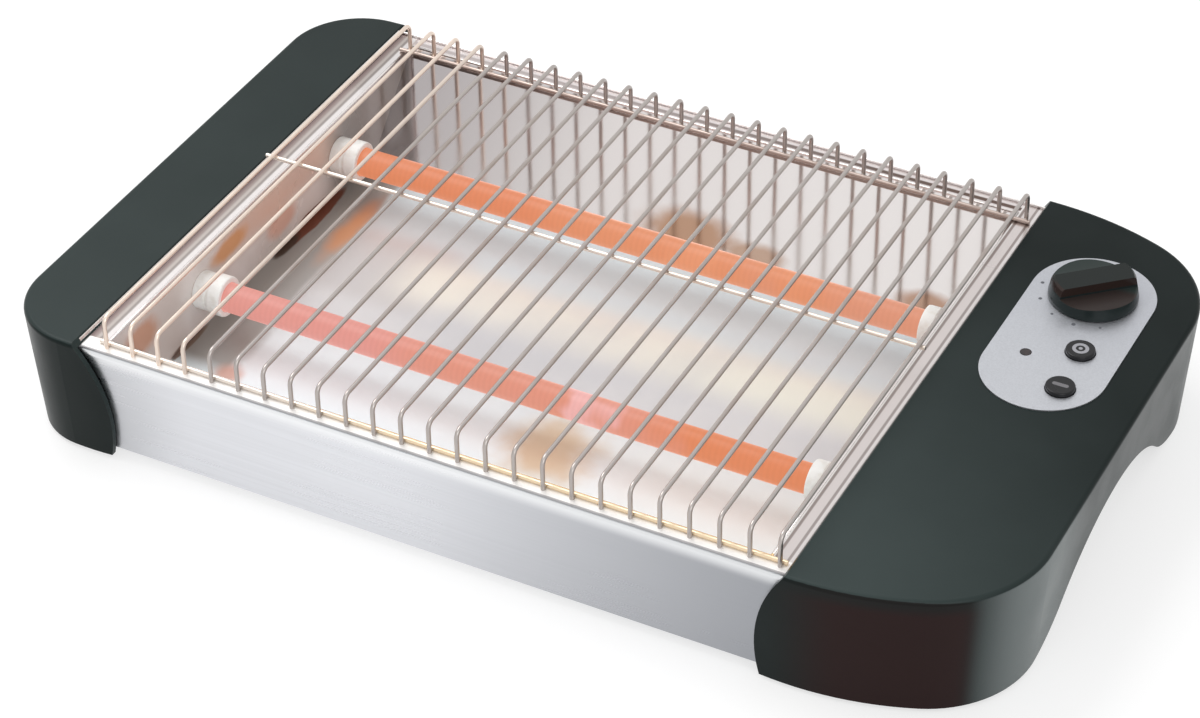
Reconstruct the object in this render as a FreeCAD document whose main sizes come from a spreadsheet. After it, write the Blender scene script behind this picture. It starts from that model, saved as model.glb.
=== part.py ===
import FreeCAD, Part
import math
import os
import Sketcher

Vector = FreeCAD.Vector

# Flat electric toaster. Two quartz tubes glow in a reflector bay under a wire rack,
# between a narrow moulded end cover on the left and a wide one with the controls on the right.
# Frame: +X right, +Y to the back, +Z up, origin on the table under the middle of the toaster.
# Lengths are in millimetres and angles in degrees.

SIZES = {
    "bay_length": (300.0, "between the inner edges of the two end covers"),
    "left_width": (37.0, "left cover, from its inner edge to its outer side"),
    "right_width": (79.0, "right cover, from its inner edge to its outer side"),
    "depth": (256.0, "front to back over the covers"),
    "cover_height": (53.5, "covers, top to lower rim"),
    "foot_height": (2.0, "rubber pad under the lower rim"),
    "draft": (3.7, "inward lean of the moulded walls and the panels"),
    "wall": (2.4, "moulded wall"),
    "clearance": (0.2, "between pieces that are assembled"),
    "gap": (0.35, "between a moving piece and what stands still"),
    "cover_bow": (130.0, "radius of the gently bowed front and back of a cover"),
    "left_corner": (32.0, "plan radius of the left cover's corners"),
    "right_corner": (48.0, "plan radius of the right cover's corners"),
    "rim_round": (1.8, "rounding along the covers' top edge"),
    "skirt_reach": (12.5, "how far a cover's skirt laps over the panels"),
    "skirt_level": (38.0, "depth below the top where the skirt laps furthest"),
    "arch_rise": (29.5, "hand arch in a cover's outer side, above the lower rim"),
    "arch_crown": (74.0, "radius of the arch's crown"),
    "arch_flare": (40.0, "radius where the arch runs out to the rim"),
    "steel": (0.8, "sheet steel of the chassis"),
    "panel_set": (0.8, "panels behind the inside of the covers' walls"),
    "panel_clear": (4.7, "table to the lower edge of the panels"),
    "panel_bend": (2.0, "outer radius of the panels' top bend"),
    "panel_lip": (6.5, "panels' upper flange"),
    "panel_foot": (12.0, "panels' lower flange"),
    "panel_lap": (5.0, "panels' ends behind the skirts"),
    "tray_side": (10.0, "tray's flange beside each cover"),
    "tray_edge": (11.0, "tray's mouth from the covers' front and back"),
    "tray_drop": (35.4, "reflector bay, flange to floor"),
    "tray_slope": (45.0, "slope of the bay's front and back walls"),
    "vent_length": (34.0, "slots in the base plate"),
    "vent_margin": (40.0, "end slots from the covers"),
    "vent_breadth": (3.0, "slots in the base plate"),
    "rack_wire": (1.8, "rack wire"),
    "rack_rise": (12.0, "top of the rack above the covers"),
    "rack_margin": (8.4, "end cross wires from the covers, with the rack in the middle"),
    "rack_shift": (3.4, "rack's middle, right of the bay's"),
    "rack_front": (7.5, "front legs of the cross wires from the covers' front"),
    "rack_back": (15.0, "back legs of the cross wires from the covers' back"),
    "rack_bend": (3.2, "bend radius of the cross wires"),
    "rod_middle": (3.5, "middle rod, behind the middle"),
    "rod_overhang": (4.0, "rods beyond the left end wire"),
    "rod_tip": (2.2, "rods beyond the right end wire"),
    "tube_outer": (12.0, "quartz tube"),
    "tube_inner": (10.0, "quartz tube"),
    "tube_play": (1.0, "tube's end to the bottom of its seat"),
    "tube_spacing": (106.0, "between the two tubes"),
    "tube_depth": (20.0, "tube axis below the covers' top"),
    "coil_outer": (7.0, "heating winding"),
    "coil_margin": (17.0, "heating winding from the tube's ends"),
    "pin": (1.6, "end pins of the winding"),
    "cap_outer": (14.0, "ceramic cap"),
    "cap_length": (22.0, "ceramic cap without its neck"),
    "cap_seat": (14.0, "depth of the tube's seat in the cap"),
    "neck": (9.0, "neck of the ceramic cap"),
    "neck_length": (5.0, "neck of the ceramic cap"),
    "cap_chamfer": (0.8, "ceramic cap's rim"),
    "pin_past": (2.0, "tube pins beyond the caps' necks"),
    "end_gap": (2.0, "bay edge to the chassis end plate"),
    "end_plate_edge": (16.0, "chassis end plate from the covers' front and back"),
    "end_flange": (10.0, "flanges of the chassis end plate"),
    "tab_width": (12.0, "base plate's tabs under the chassis bosses"),
    "tab_past": (3.2, "base plate's tabs beyond the middle of the chassis bosses"),
    "plate_width": (49.0, "control plate"),
    "plate_length": (101.0, "control plate"),
    "plate_thick": (1.1, "control plate"),
    "plate_recess": (0.6, "seat of the control plate in the cover"),
    "plate_side": (41.0, "control plate's centre line from the cover's outer side"),
    "plate_edge": (80.1, "control plate's middle from the cover's back"),
    "plate_room": (3.0, "control plate's hole, larger than the dial shaft"),
    "knob_outer": (35.0, "knob at its foot"),
    "knob_top": (32.0, "knob at its top"),
    "knob_height": (9.0, "knob over the bar"),
    "knob_crown": (0.8, "chamfer round the knob's top"),
    "knob_foot": (1.2, "upright edge at the knob's foot"),
    "knob_roof": (2.4, "knob over the dial shaft"),
    "knob_rim": (6.0, "knob's rim beside the bar"),
    "knob_dish": (1.4, "finger hollows below the rim, beside the bar"),
    "grip_width": (10.0, "bar across the knob"),
    "grip_hollow": (34.0, "radius of the finger hollows beside the bar"),
    "grip_turn": (42.2, "turn of the bar from the toaster's length, at rest"),
    "shaft": (6.0, "dial shaft"),
    "shaft_play": (0.05, "radial play of the moving shafts and stems"),
    "shaft_room": (4.0, "cover's hole, larger than the dial shaft"),
    "shaft_lift": (2.0, "dial shaft above the board"),
    "collar_more": (2.6, "rotary switch's collar, larger than the dial shaft"),
    "collar_root": (1.0, "collar inside the rotary switch"),
    "button_outer": (11.4, "push buttons"),
    "button_proud": (1.8, "push buttons above the plate"),
    "button_travel": (1.5, "push buttons"),
    "button_gap": (0.3, "radial gap round the push buttons"),
    "button_flange": (14.6, "retaining flange of the push buttons"),
    "button_flange_thick": (1.2, "retaining flange of the push buttons"),
    "button_root": (0.5, "push buttons inside their flange"),
    "button_round": (0.6, "rounding of the push buttons' top"),
    "first_right": (8.4, "ring button, right of the plate's middle"),
    "first_ahead": (9.8, "ring button, ahead of the plate's middle"),
    "second_right": (9.6, "bar button, right of the plate's middle"),
    "second_ahead": (33.9, "bar button, ahead of the plate's middle"),
    "lamp_left": (10.1, "indicator, left of the plate's middle"),
    "lamp_ahead": (18.8, "indicator, ahead of the plate's middle"),
    "lamp_outer": (4.4, "indicator lens"),
    "lamp_height": (3.5, "indicator lamp"),
    "lamp_more": (0.6, "indicator lamp, larger than its lens"),
    "lens_proud": (0.1, "indicator lens above the plate"),
    "lens_flange_more": (2.4, "indicator lens's flange, larger than the lens"),
    "lens_flange_thick": (1.0, "indicator lens's flange"),
    "board_drop": (12.9, "covers' top to the circuit board"),
    "board_thick": (1.6, "circuit board"),
    "board_length": (84.0, "circuit board"),
    "board_width": (46.0, "circuit board"),
    "board_ahead": (1.9, "circuit board's middle, ahead of the plate's"),
    "board_corner": (4.0, "board screws from the board's edges"),
    "switch_side": (12.0, "push switch"),
    "switch_height": (7.0, "push switch"),
    "stem": (4.0, "push switch stem"),
    "stem_depth": (2.8, "push switch stem inside the switch, at rest"),
    "dial_side": (16.0, "rotary switch"),
    "dial_height": (8.0, "rotary switch"),
    "relay_left": (10.0, "relay, left of the plate's middle"),
    "relay_behind": (1.6, "relay, behind the plate's middle"),
    "relay_width": (15.0, "relay"),
    "relay_length": (19.0, "relay"),
    "relay_height": (15.0, "relay"),
    "capacitor_outer": (10.0, "filter capacitor"),
    "capacitor_height": (12.0, "filter capacitor"),
    "capacitor_right": (2.0, "filter capacitor, right of the relay's middle"),
    "capacitor_ahead": (16.0, "filter capacitor's middle, ahead of the relay"),
    "terminal_cell": (8.0, "one cell of the terminal block"),
    "terminal_depth": (18.0, "terminal block"),
    "terminal_height": (14.0, "terminal block"),
    "terminal_left": (4.0, "terminal block, left of the relay's middle"),
    "terminal_behind": (6.5, "front of the terminal block, behind the relay's middle"),
    "terminal_well": (4.4, "screw wells of the terminal block"),
    "terminal_well_edge": (5.0, "screw wells from the terminal block's front and back"),
    "terminal_well_depth": (6.0, "screw wells of the terminal block"),
    "cutout_outer": (16.0, "thermal cut-out"),
    "cutout_height": (6.0, "thermal cut-out"),
    "cutout_tab_reach": (16.0, "tabs of the thermal cut-out, from its middle"),
    "cutout_tab_width": (6.0, "tabs of the thermal cut-out"),
    "cutout_tab_drop": (4.2, "tabs of the thermal cut-out, below the reflector"),
    "lead": (2.6, "insulated leads"),
    "lead_left": (16.2, "front lead, left of the plate's middle"),
    "lead_bend": (5.0, "middle radius of the front lead's bend"),
    "housing_low": (31.0, "lower part of the control housing from the cover's outer side"),
    "housing_high": (13.0, "upper part of the control housing from the cover's outer side"),
    "housing_shelf": (33.5, "shelf of the control housing above the table"),
    "housing_edge": (37.0, "control housing from the cover's front and back"),
    "guard_width": (15.0, "lead guard in the left cover, outer side"),
    "guard_edge": (29.0, "lead guard from the cover's front and back"),
    "moulding_gap": (1.0, "inner mouldings from the chassis end plates"),
    "neck_room": (1.0, "control housing's holes, larger than the caps' necks"),
    "moulding": (2.0, "inner mouldings"),
    "post": (13.0, "foot posts"),
    "foot": (12.0, "rubber feet"),
    "foot_stem": (6.2, "rubber feet"),
    "foot_stem_length": (7.0, "rubber feet"),
    "foot_chamfer": (0.6, "rubber feet"),
    "left_foot_side": (19.0, "left feet from the cover's outer side"),
    "left_foot_edge": (20.0, "left feet from the cover's front and back"),
    "right_foot_side": (33.0, "right feet from the cover's outer side"),
    "right_foot_edge": (28.0, "right feet from the cover's front and back"),
    "boss": (8.0, "screw bosses"),
    "boss_across": (8.0, "chassis bosses from the cover's inner edge"),
    "boss_edge": (20.0, "chassis bosses from the covers' front and back"),
    "board_boss": (6.0, "screw bosses of the circuit board"),
    "guard_boss_shift": (0.6, "lead guard's bosses, outside the chassis bosses"),
    "guard_boss_edge": (19.0, "lead guard's bosses from its ends"),
    "housing_boss_left": (4.0, "control housing's front boss, left of the plate's middle"),
    "housing_boss_front": (17.0, "control housing's front boss from its front"),
    "housing_boss_shift": (2.5, "control housing's back boss, outside the chassis bosses"),
    "housing_boss_back": (9.0, "control housing's back boss from its back"),
    "screw": (3.0, "screws"),
    "screw_head": (6.0, "screws"),
    "screw_head_height": (1.6, "screws"),
    "screw_length": (9.0, "screws, under the head"),
    "small_screw_length": (6.0, "board screws, under the head"),
    "inlet_outer": (10.0, "cable inlet"),
    "inlet_flange": (13.5, "cable inlet"),
    "inlet_bore": (6.8, "cable inlet"),
    "inlet_across": (12.0, "cable inlet from the cover's inner edge"),
    "inlet_height": (23.0, "cable inlet above the table"),
    "inlet_length": (8.0, "cable inlet, inwards from its flange"),
    "inlet_lip": (1.8, "cable inlet's flange"),
    "inlet_lip_edge": (1.2, "upright edge of the cable inlet's flange"),
    "inlet_slope": (0.8, "fall of the cable inlet's flange"),
    "inlet_proud": (1.0, "cable inlet's flange from the wall, with the wall's lean"),
    "mouth_shift": (8.0, "control housing's cable mouth, outside the cable inlet"),
    "mouth_room": (1.0, "control housing's cable mouth, larger than the inlet's bore"),
}
WIRES = 25
VENTS = 11
TERMINALS = 3
OVERSHOOT = 5.0
SHORT_OVERSHOOT = 1.0
TOLERANCE = 1e-3
FULL_TURN = 360.0


class Size:
    """A length or angle: its number, and the expression of sheet names that gives it."""

    def __init__(self, value, text):
        self.value = value
        self.text = text

    def __add__(self, other):
        other = size_of(other)
        return Size(self.value + other.value, f"({self.text} + {other.text})")

    def __sub__(self, other):
        other = size_of(other)
        return Size(self.value - other.value, f"({self.text} - {other.text})")

    def __mul__(self, other):
        other = size_of(other)
        return Size(self.value * other.value, f"({self.text} * {other.text})")

    def __truediv__(self, other):
        other = size_of(other)
        return Size(self.value / other.value, f"({self.text} / {other.text})")

    def __rsub__(self, other):
        return size_of(other) - self

    def __neg__(self):
        return Size(-self.value, f"(-1 * {self.text})")

    __radd__ = __add__
    __rmul__ = __mul__


def size_of(number):
    return number if isinstance(number, Size) else Size(float(number), f"({number})")


def root(size):
    return Size(math.sqrt(size.value), f"sqrt({size.text})")


def tangent(angle):
    return Size(math.tan(math.radians(angle.value)), f"tan({angle.text})")


def sine(angle):
    return Size(math.sin(math.radians(angle.value)), f"sin({angle.text})")


def cosine(angle):
    return Size(math.cos(math.radians(angle.value)), f"cos({angle.text})")


doc = FreeCAD.newDocument("toaster")
sheet = doc.addObject("Spreadsheet::Sheet", "Sizes")
for row, (alias, (number, note)) in enumerate(SIZES.items(), start=1):
    sheet.set(f"A{row}", alias)
    sheet.set(f"B{row}", str(number))
    sheet.set(f"C{row}", note)
    sheet.setAlias(f"B{row}", alias)
doc.recompute()


class Sheet:
    """Every size of the sheet as an attribute."""


S = Sheet()
for alias, (number, note) in SIZES.items():
    setattr(S, alias, Size(number, f"Sizes.{alias}"))

# Places that several pieces share
ZERO = size_of(0.0)
half_depth = S.depth / 2
bay_center = (S.left_width - S.right_width) / 2
bay_left = bay_center - S.bay_length / 2
bay_right = bay_center + S.bay_length / 2
cover_top = S.foot_height + S.cover_height
cover_under = cover_top - S.wall
flange_top = cover_under - S.clearance
flange_under = flange_top - S.steel
base_under = S.panel_clear + S.steel
base_top = base_under + S.steel
lean = tangent(S.draft)
tube_level = cover_top - S.tube_depth
plate_bottom = cover_top - S.plate_recess
plate_top = plate_bottom + S.plate_thick
board_top = cover_top - S.board_drop
board_under = board_top - S.board_thick
housing_floor = base_top + S.moulding
plate_across = S.right_width - S.plate_side
plate_middle = bay_right + plate_across
plate_back = half_depth - S.plate_edge
plate_straight = (S.plate_length - S.plate_width) / 2
knob_back = plate_back + plate_straight
RING = (plate_middle + S.first_right, plate_back - S.first_ahead)
BAR = (plate_middle + S.second_right, plate_back - S.second_ahead)
LAMP = (plate_middle - S.lamp_left, plate_back - S.lamp_ahead)
board_back = plate_back - S.board_ahead
boss_back = half_depth - S.boss_edge
knob_under = plate_top + S.gap
button_under = cover_under - S.gap - S.button_flange_thick


def panel_face(level):
    """Distance from the middle to the outside of the front or back panel, at a height."""
    return half_depth - S.wall - S.panel_set - (cover_top - level) * lean


# Sketches and features

def new_body(label):
    body = doc.addObject("PartDesign::Body", label)
    body.Label = label
    body.AllowCompound = True
    return body


def origin_feature(body, role):
    return [item for item in body.Origin.OriginFeatures if item.Role == role][0]


def bind(thing, path, size):
    """Sets a property to a size's number and ties it to the sheet."""
    thing.setExpression(path, size_of(size).text)


def point_limits(element, end, place):
    """Horizontal and vertical distances that hold a point of the sketch."""
    return [(Sketcher.Constraint(kind, -1, 1, element, end, size_of(size).value), size_of(size))
            for kind, size in zip(("DistanceX", "DistanceY"), place)]


def radius_limit(element, radius):
    return Sketcher.Constraint("Radius", element, size_of(radius).value), size_of(radius)


def constrain(sketch, limits):
    """Adds all the limits at once, then ties their numbers to the sheet."""
    first = sketch.ConstraintCount
    sketch.addConstraint([limit for limit, _ in limits])
    for index, (_, size) in enumerate(limits, start=first):
        if size is not None:
            bind(sketch, f"Constraints[{index}]", size)


def arc_between(start, finish, radius, turn):
    """The short arc from start to finish; turn is 1 to the left and -1 to the right."""
    chord = finish - start
    reach = math.sqrt(max(radius * radius - chord.Length ** 2 / 4, 0.0))
    side = Vector(-chord.y, chord.x, 0).normalize() * (turn * reach)
    center = (start + finish) / 2 + side
    first, last = (start, finish) if turn > 0 else (finish, start)
    angles = [math.atan2(p.y - center.y, p.x - center.x) for p in (first, last)]
    if angles[1] < angles[0]:
        angles[1] += 2 * math.pi
    return Part.ArcOfCircle(Part.Circle(center, Vector(0, 0, 1), radius), *angles)


def outline_limits(sketch, corners, closed):
    """Joins corners (x, y), or (x, y, radius, turn) where an arc leaves that corner."""
    ends = []
    limits = []
    count = len(corners)
    for index in range(count if closed else count - 1):
        here = corners[index]
        following = corners[(index + 1) % count]
        start, finish = (Vector(size_of(p[0]).value, size_of(p[1]).value, 0) for p in (here, following))
        if len(here) == 2:
            element = sketch.addGeometry(Part.LineSegment(start, finish), False)
            ends.append((element, 1, 2))
        else:
            radius, turn = size_of(here[2]), here[3]
            element = sketch.addGeometry(arc_between(start, finish, radius.value, turn), False)
            ends.append((element, 1, 2) if turn > 0 else (element, 2, 1))
            limits.append(radius_limit(element, radius))
    for index, (element, first, last) in enumerate(ends):
        if closed or index + 1 < len(ends):
            following = ends[(index + 1) % len(ends)]
            limits.append((Sketcher.Constraint("Coincident", element, last, *following[:2]), None))
    for (element, first, last), corner in zip(ends, corners):
        limits += point_limits(element, first, corner[:2])
    if not closed:
        limits += point_limits(ends[-1][0], ends[-1][2], corners[-1][:2])
    return limits


def circle_limits(sketch, x, y, diameter):
    x, y, radius = size_of(x), size_of(y), size_of(diameter) / 2
    circle = Part.Circle(Vector(x.value, y.value, 0), Vector(0, 0, 1), radius.value)
    element = sketch.addGeometry(circle, False)
    return point_limits(element, 3, (x, y)) + [radius_limit(element, radius)]


def new_sketch(body, plane, lift=ZERO, outlines=(), circles=(), closed=True):
    """A sketch on XY, XZ or YZ, at a place along the third axis."""
    sketch = body.newObject("Sketcher::SketchObject", f"{body.Label}_sketch")
    sketch.AttachmentSupport = [(origin_feature(body, f"{plane}_Plane"), "")]
    sketch.MapMode = "FlatFace"
    bind(sketch, "AttachmentOffset.Base.z", -lift if plane == "XZ" else lift)
    limits = []
    for corners in outlines:
        limits += outline_limits(sketch, corners, closed)
    for circle in circles:
        limits += circle_limits(sketch, *circle)
    constrain(sketch, limits)
    return sketch


def extrude(body, kind, sketch, length, back=False, both=False, taper=None):
    """A Pad or Pocket; back runs it against the sketch's normal."""
    feature = body.newObject(f"PartDesign::{kind}", f"{body.Label}_{kind.lower()}")
    feature.Profile = sketch
    bind(feature, "Length", length)
    feature.Reversed = back
    if both:
        feature.SideType = "Symmetric"
    if taper is not None:
        bind(feature, "TaperAngle", taper)
    return feature


def pad_up(body, bottom, top, outlines=(), circles=()):
    """Material between two heights."""
    sketch = new_sketch(body, "XY", bottom, outlines, circles)
    return extrude(body, "Pad", sketch, top - bottom)


def cut_down(body, top, bottom, outlines=(), circles=()):
    """Removes what lies between two heights."""
    sketch = new_sketch(body, "XY", top, outlines, circles)
    return extrude(body, "Pocket", sketch, top - bottom)


def pad_across(body, left, right, outlines=(), circles=()):
    """Material between two places along X, from a profile of (y, z)."""
    sketch = new_sketch(body, "YZ", left, outlines, circles)
    return extrude(body, "Pad", sketch, right - left)


def cut_across(body, left, right, outlines=(), circles=()):
    sketch = new_sketch(body, "YZ", right, outlines, circles)
    return extrude(body, "Pocket", sketch, right - left)


def revolve(body, axis, corners):
    """A turned piece about the X, Y or Z axis of its body, from its half section."""
    plane, line = {"X": ("XZ", "H_Axis"), "Y": ("YZ", "H_Axis"), "Z": ("XZ", "V_Axis")}[axis]
    sketch = new_sketch(body, plane, ZERO, [corners])
    feature = body.newObject("PartDesign::Revolution", f"{body.Label}_turned")
    feature.Profile = sketch
    feature.ReferenceAxis = (sketch, [line])
    feature.Angle = FULL_TURN
    return feature


def fillet(body, feature, edges, radius):
    doc.recompute()
    names = [f"Edge{number}" for number, edge in enumerate(feature.Shape.Edges, start=1) if edges(edge)]
    rounding = body.newObject("PartDesign::Fillet", f"{body.Label}_rounding")
    rounding.Base = (feature, names)
    bind(rounding, "Radius", radius)
    return rounding


def repeat(body, feature, axis, run, count):
    """Copies a feature evenly along an axis of the body."""
    pattern = body.newObject("PartDesign::LinearPattern", f"{feature.Label}_row")
    pattern.Originals = [feature]
    pattern.Direction = (origin_feature(body, f"{axis}_Axis"), [""])
    bind(pattern, "Length", run)
    pattern.Occurrences = count
    body.Tip = pattern
    return pattern


def place(thing, x=ZERO, y=ZERO, z=ZERO, turn=None):
    for axis, size in zip("xyz", (x, y, z)):
        bind(thing, f"Placement.Base.{axis}", size)
    if turn is not None:
        thing.Placement = FreeCAD.Placement(thing.Placement.Base, FreeCAD.Rotation(Vector(0, 0, 1), 0))
        bind(thing, "Placement.Rotation.Angle", turn)


def rectangle(left, front, right, back):
    return [(left, front), (right, front), (right, back), (left, back)]


def slot(x, y, width, length):
    """A round-ended outline whose length runs along Y, drawn in quarter circles."""
    radius = width / 2
    straight = length / 2 - radius
    return [
        (x + radius, y - straight),
        (x + radius, y + straight, radius, 1),
        (x, y + straight + radius, radius, 1),
        (x - radius, y + straight),
        (x - radius, y - straight, radius, 1),
        (x, y - straight - radius, radius, 1),
    ]


# End covers

class Side:
    """One end of the toaster: its bay edge, its direction outwards and its cover's sizes."""

    def __init__(self, name, edge, sign, width, corner, feet):
        self.name = name
        self.edge = edge
        self.sign = sign
        self.width = width
        self.corner = corner
        self.feet = feet

    def at(self, across):
        """The X that lies a distance outwards from the bay edge."""
        return self.edge + across * self.sign


LEFT = Side("left", bay_left, -1, S.left_width, S.left_corner,
            (S.left_width - S.left_foot_side, half_depth - S.left_foot_edge))
RIGHT = Side("right", bay_right, 1, S.right_width, S.right_corner,
             (S.right_width - S.right_foot_side, half_depth - S.right_foot_edge))


def cover_outline(side, inset, reach):
    """Plan of a cover, drawn in from its outside by inset: bowed ends and round corners."""
    bow = S.cover_bow - inset
    corner = side.corner - inset
    corner_across = side.width - side.corner
    corner_fall = root((S.cover_bow - side.corner) * (S.cover_bow - side.corner)
                       - corner_across * corner_across)
    share = bow / (S.cover_bow - side.corner)
    bow_center = half_depth - S.cover_bow
    join_across = corner_across * share
    join_back = bow_center + corner_fall * share
    corner_back = bow_center + corner_fall
    end_back = bow_center + root(bow * bow - reach * reach)
    outer = side.width - inset
    start = -side.sign
    return [
        (side.at(-reach), end_back * start, bow, 1),
        (side.at(join_across), join_back * start, corner, 1),
        (side.at(outer), corner_back * start),
        (side.at(outer), -corner_back * start, corner, 1),
        (side.at(join_across), -join_back * start, bow, 1),
        (side.at(-reach), -end_back * start),
    ]


def skirt_cut(side):
    """What is cut from the bay side of a cover, in X and Z: it leaves the curved skirt."""
    radius = (S.skirt_reach * S.skirt_reach + S.skirt_level * S.skirt_level) / (S.skirt_reach * 2)
    below = S.cover_height + OVERSHOOT - S.skirt_level
    low_across = radius - S.skirt_reach - root(radius * radius - below * below)
    far = S.skirt_reach + OVERSHOOT * 4
    return [
        (side.at(ZERO), cover_top, radius, side.sign),
        (side.at(low_across), cover_top - S.cover_height - OVERSHOOT),
        (side.at(-far), cover_top - S.cover_height - OVERSHOOT),
        (side.at(-far), cover_top + OVERSHOOT),
        (side.at(ZERO), cover_top + OVERSHOOT),
    ]


def arch_outline():
    """The hand arch, in Y and Z: a round crown that flares out to the lower rim."""
    radii = S.arch_crown + S.arch_flare
    fall = S.arch_rise / radii
    cos_end = 1 - fall
    sin_end = root(1 - cos_end * cos_end)
    rim = S.foot_height
    crown = rim + S.arch_rise
    join = S.arch_crown * sin_end
    join_level = crown - S.arch_crown * fall
    end = radii * sin_end
    below = rim - OVERSHOOT
    return [
        (-end, below),
        (end, below),
        (end, rim, S.arch_flare, -1),
        (join, join_level, S.arch_crown, 1),
        (-join, join_level, S.arch_flare, -1),
        (-end, rim),
    ]


def shell_cover(side):
    """The moulded shell: drafted walls, rounded top edge, curved skirts and hand arch."""
    body = new_body(f"{side.name}_cover")
    reach = S.skirt_reach + OVERSHOOT * 2
    outside = new_sketch(body, "XY", cover_top, [cover_outline(side, ZERO, reach)])
    block = extrude(body, "Pad", outside, S.cover_height, back=True, taper=-S.draft)
    inner_side = side.at(-reach).value

    def is_rim(edge):
        box = edge.BoundBox
        at_top = abs(box.ZMin - cover_top.value) < TOLERANCE and box.ZLength < TOLERANCE
        return at_top and max(abs(box.XMin - inner_side), abs(box.XMax - inner_side)) > TOLERANCE

    fillet(body, block, is_rim, S.rim_round)
    hollow = new_sketch(body, "XY", cover_under, [cover_outline(side, S.wall, reach + OVERSHOOT)])
    extrude(body, "Pocket", hollow, S.cover_height, taper=-S.draft)
    skirt = new_sketch(body, "XZ", ZERO, [skirt_cut(side)])
    extrude(body, "Pocket", skirt, S.depth * 2, both=True)
    outer_wall = sorted((side.at(side.width + OVERSHOOT), side.at(side.width - OVERSHOOT * 3)),
                        key=lambda size: size.value)
    cut_across(body, *outer_wall, [arch_outline()])
    return body


def add_post(body, side, across, back, diameter, bottom):
    circles = [(side.at(across), back, diameter)]
    pad_up(body, bottom, cover_under + S.wall / 2, (), circles)


def add_bore(body, side, across, back, diameter, bottom, length):
    circles = [(side.at(across), back, diameter)]
    cut_down(body, bottom + length, bottom - OVERSHOOT, (), circles)


def chassis_boss_places(side):
    return [(side, S.boss_across, -boss_back), (side, S.boss_across, boss_back)]


def end_cover(side, inner_bosses):
    """A cover with its foot posts and screw bosses; inner_bosses are (across, back, bottom)."""
    body = shell_cover(side)
    foot_across, foot_back = side.feet
    for back in (-foot_back, foot_back):
        add_post(body, side, foot_across, back, S.post, S.foot_height)
        add_bore(body, side, foot_across, back, S.foot_stem + S.clearance, S.foot_height,
                 S.foot_stem_length + S.clearance)
    bosses = [(across, back, base_top) for _, across, back in chassis_boss_places(side)]
    for across, back, bottom in bosses + inner_bosses:
        add_post(body, side, across, back, S.boss, bottom)
        add_bore(body, side, across, back, S.screw + S.clearance / 2, bottom, S.screw_length)
    return body


guard_boss_back = half_depth - S.guard_edge - S.guard_boss_edge
GUARD_BOSSES = [(S.boss_across + S.guard_boss_shift, guard_boss_back * sign, housing_floor)
                for sign in (-1, 1)]
housing_half = half_depth - S.housing_edge
HOUSING_BOSSES = [
    (plate_across - S.housing_boss_left, S.housing_boss_front - housing_half, housing_floor),
    (S.boss_across + S.housing_boss_shift, housing_half - S.housing_boss_back, housing_floor),
]
board_screw_places = [
    (plate_across + across * (S.board_width / 2 - S.board_corner),
     board_back + back * (S.board_length / 2 - S.board_corner))
    for across in (-1, 1) for back in (-1, 1)
]


def make_left_cover():
    return end_cover(LEFT, GUARD_BOSSES)


def control_holes(shaft_hole, button_hole, lamp_hole):
    """The holes over the dial, the two buttons and the indicator."""
    return [
        (plate_middle, knob_back, shaft_hole),
        (*RING, button_hole),
        (*BAR, button_hole),
        (*LAMP, lamp_hole),
    ]


def make_right_cover():
    body = end_cover(RIGHT, HOUSING_BOSSES)
    for across, back in board_screw_places:
        add_post(body, RIGHT, across, back, S.board_boss, board_top)
        add_bore(body, RIGHT, across, back, S.screw + S.clearance / 2, board_top,
                 S.small_screw_length)
    seat = slot(plate_middle, plate_back, S.plate_width + S.clearance, S.plate_length + S.clearance)
    cut_down(body, cover_top + OVERSHOOT, plate_bottom, [seat])
    holes = control_holes(S.shaft + S.shaft_room, S.button_outer + S.button_gap * 2,
                          S.lamp_outer + S.clearance)
    cut_down(body, cover_top + OVERSHOOT, cover_under - SHORT_OVERSHOOT, (), holes)
    inlet = new_sketch(body, "XZ", half_depth + OVERSHOOT, (),
                       [(RIGHT.at(S.inlet_across), S.inlet_height, S.inlet_outer + S.clearance)])
    extrude(body, "Pocket", inlet, OVERSHOOT * 4, back=True)
    return body


# Chassis

def make_panel(name, sign):
    """Folded steel panel: upper flange, rounded bend, leaning face and lower flange."""
    body = new_body(name)
    top = flange_under
    bend_level = top - S.panel_bend
    bottom = S.panel_clear
    upper = panel_face(top)
    tip = upper - S.panel_lip
    heel = panel_face(bottom)
    inner_bend = S.panel_bend - S.steel
    outline = [
        (tip, top),
        (upper - S.panel_bend, top, S.panel_bend, -1),
        (panel_face(bend_level), bend_level),
        (heel, bottom),
        (heel - S.panel_foot, bottom),
        (heel - S.panel_foot, bottom + S.steel),
        (heel - S.steel, bottom + S.steel),
        (panel_face(bend_level) - S.steel, bend_level, inner_bend, 1),
        (upper - S.panel_bend, top - S.steel),
        (tip, top - S.steel),
    ]
    turned = [(corner[0] * sign, corner[1]) + tuple(
        corner[2:3] + (corner[3] * sign,) if len(corner) > 2 else ()) for corner in outline]
    pad_across(body, bay_left - S.panel_lap, bay_right + S.panel_lap, [turned])
    return body


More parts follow.
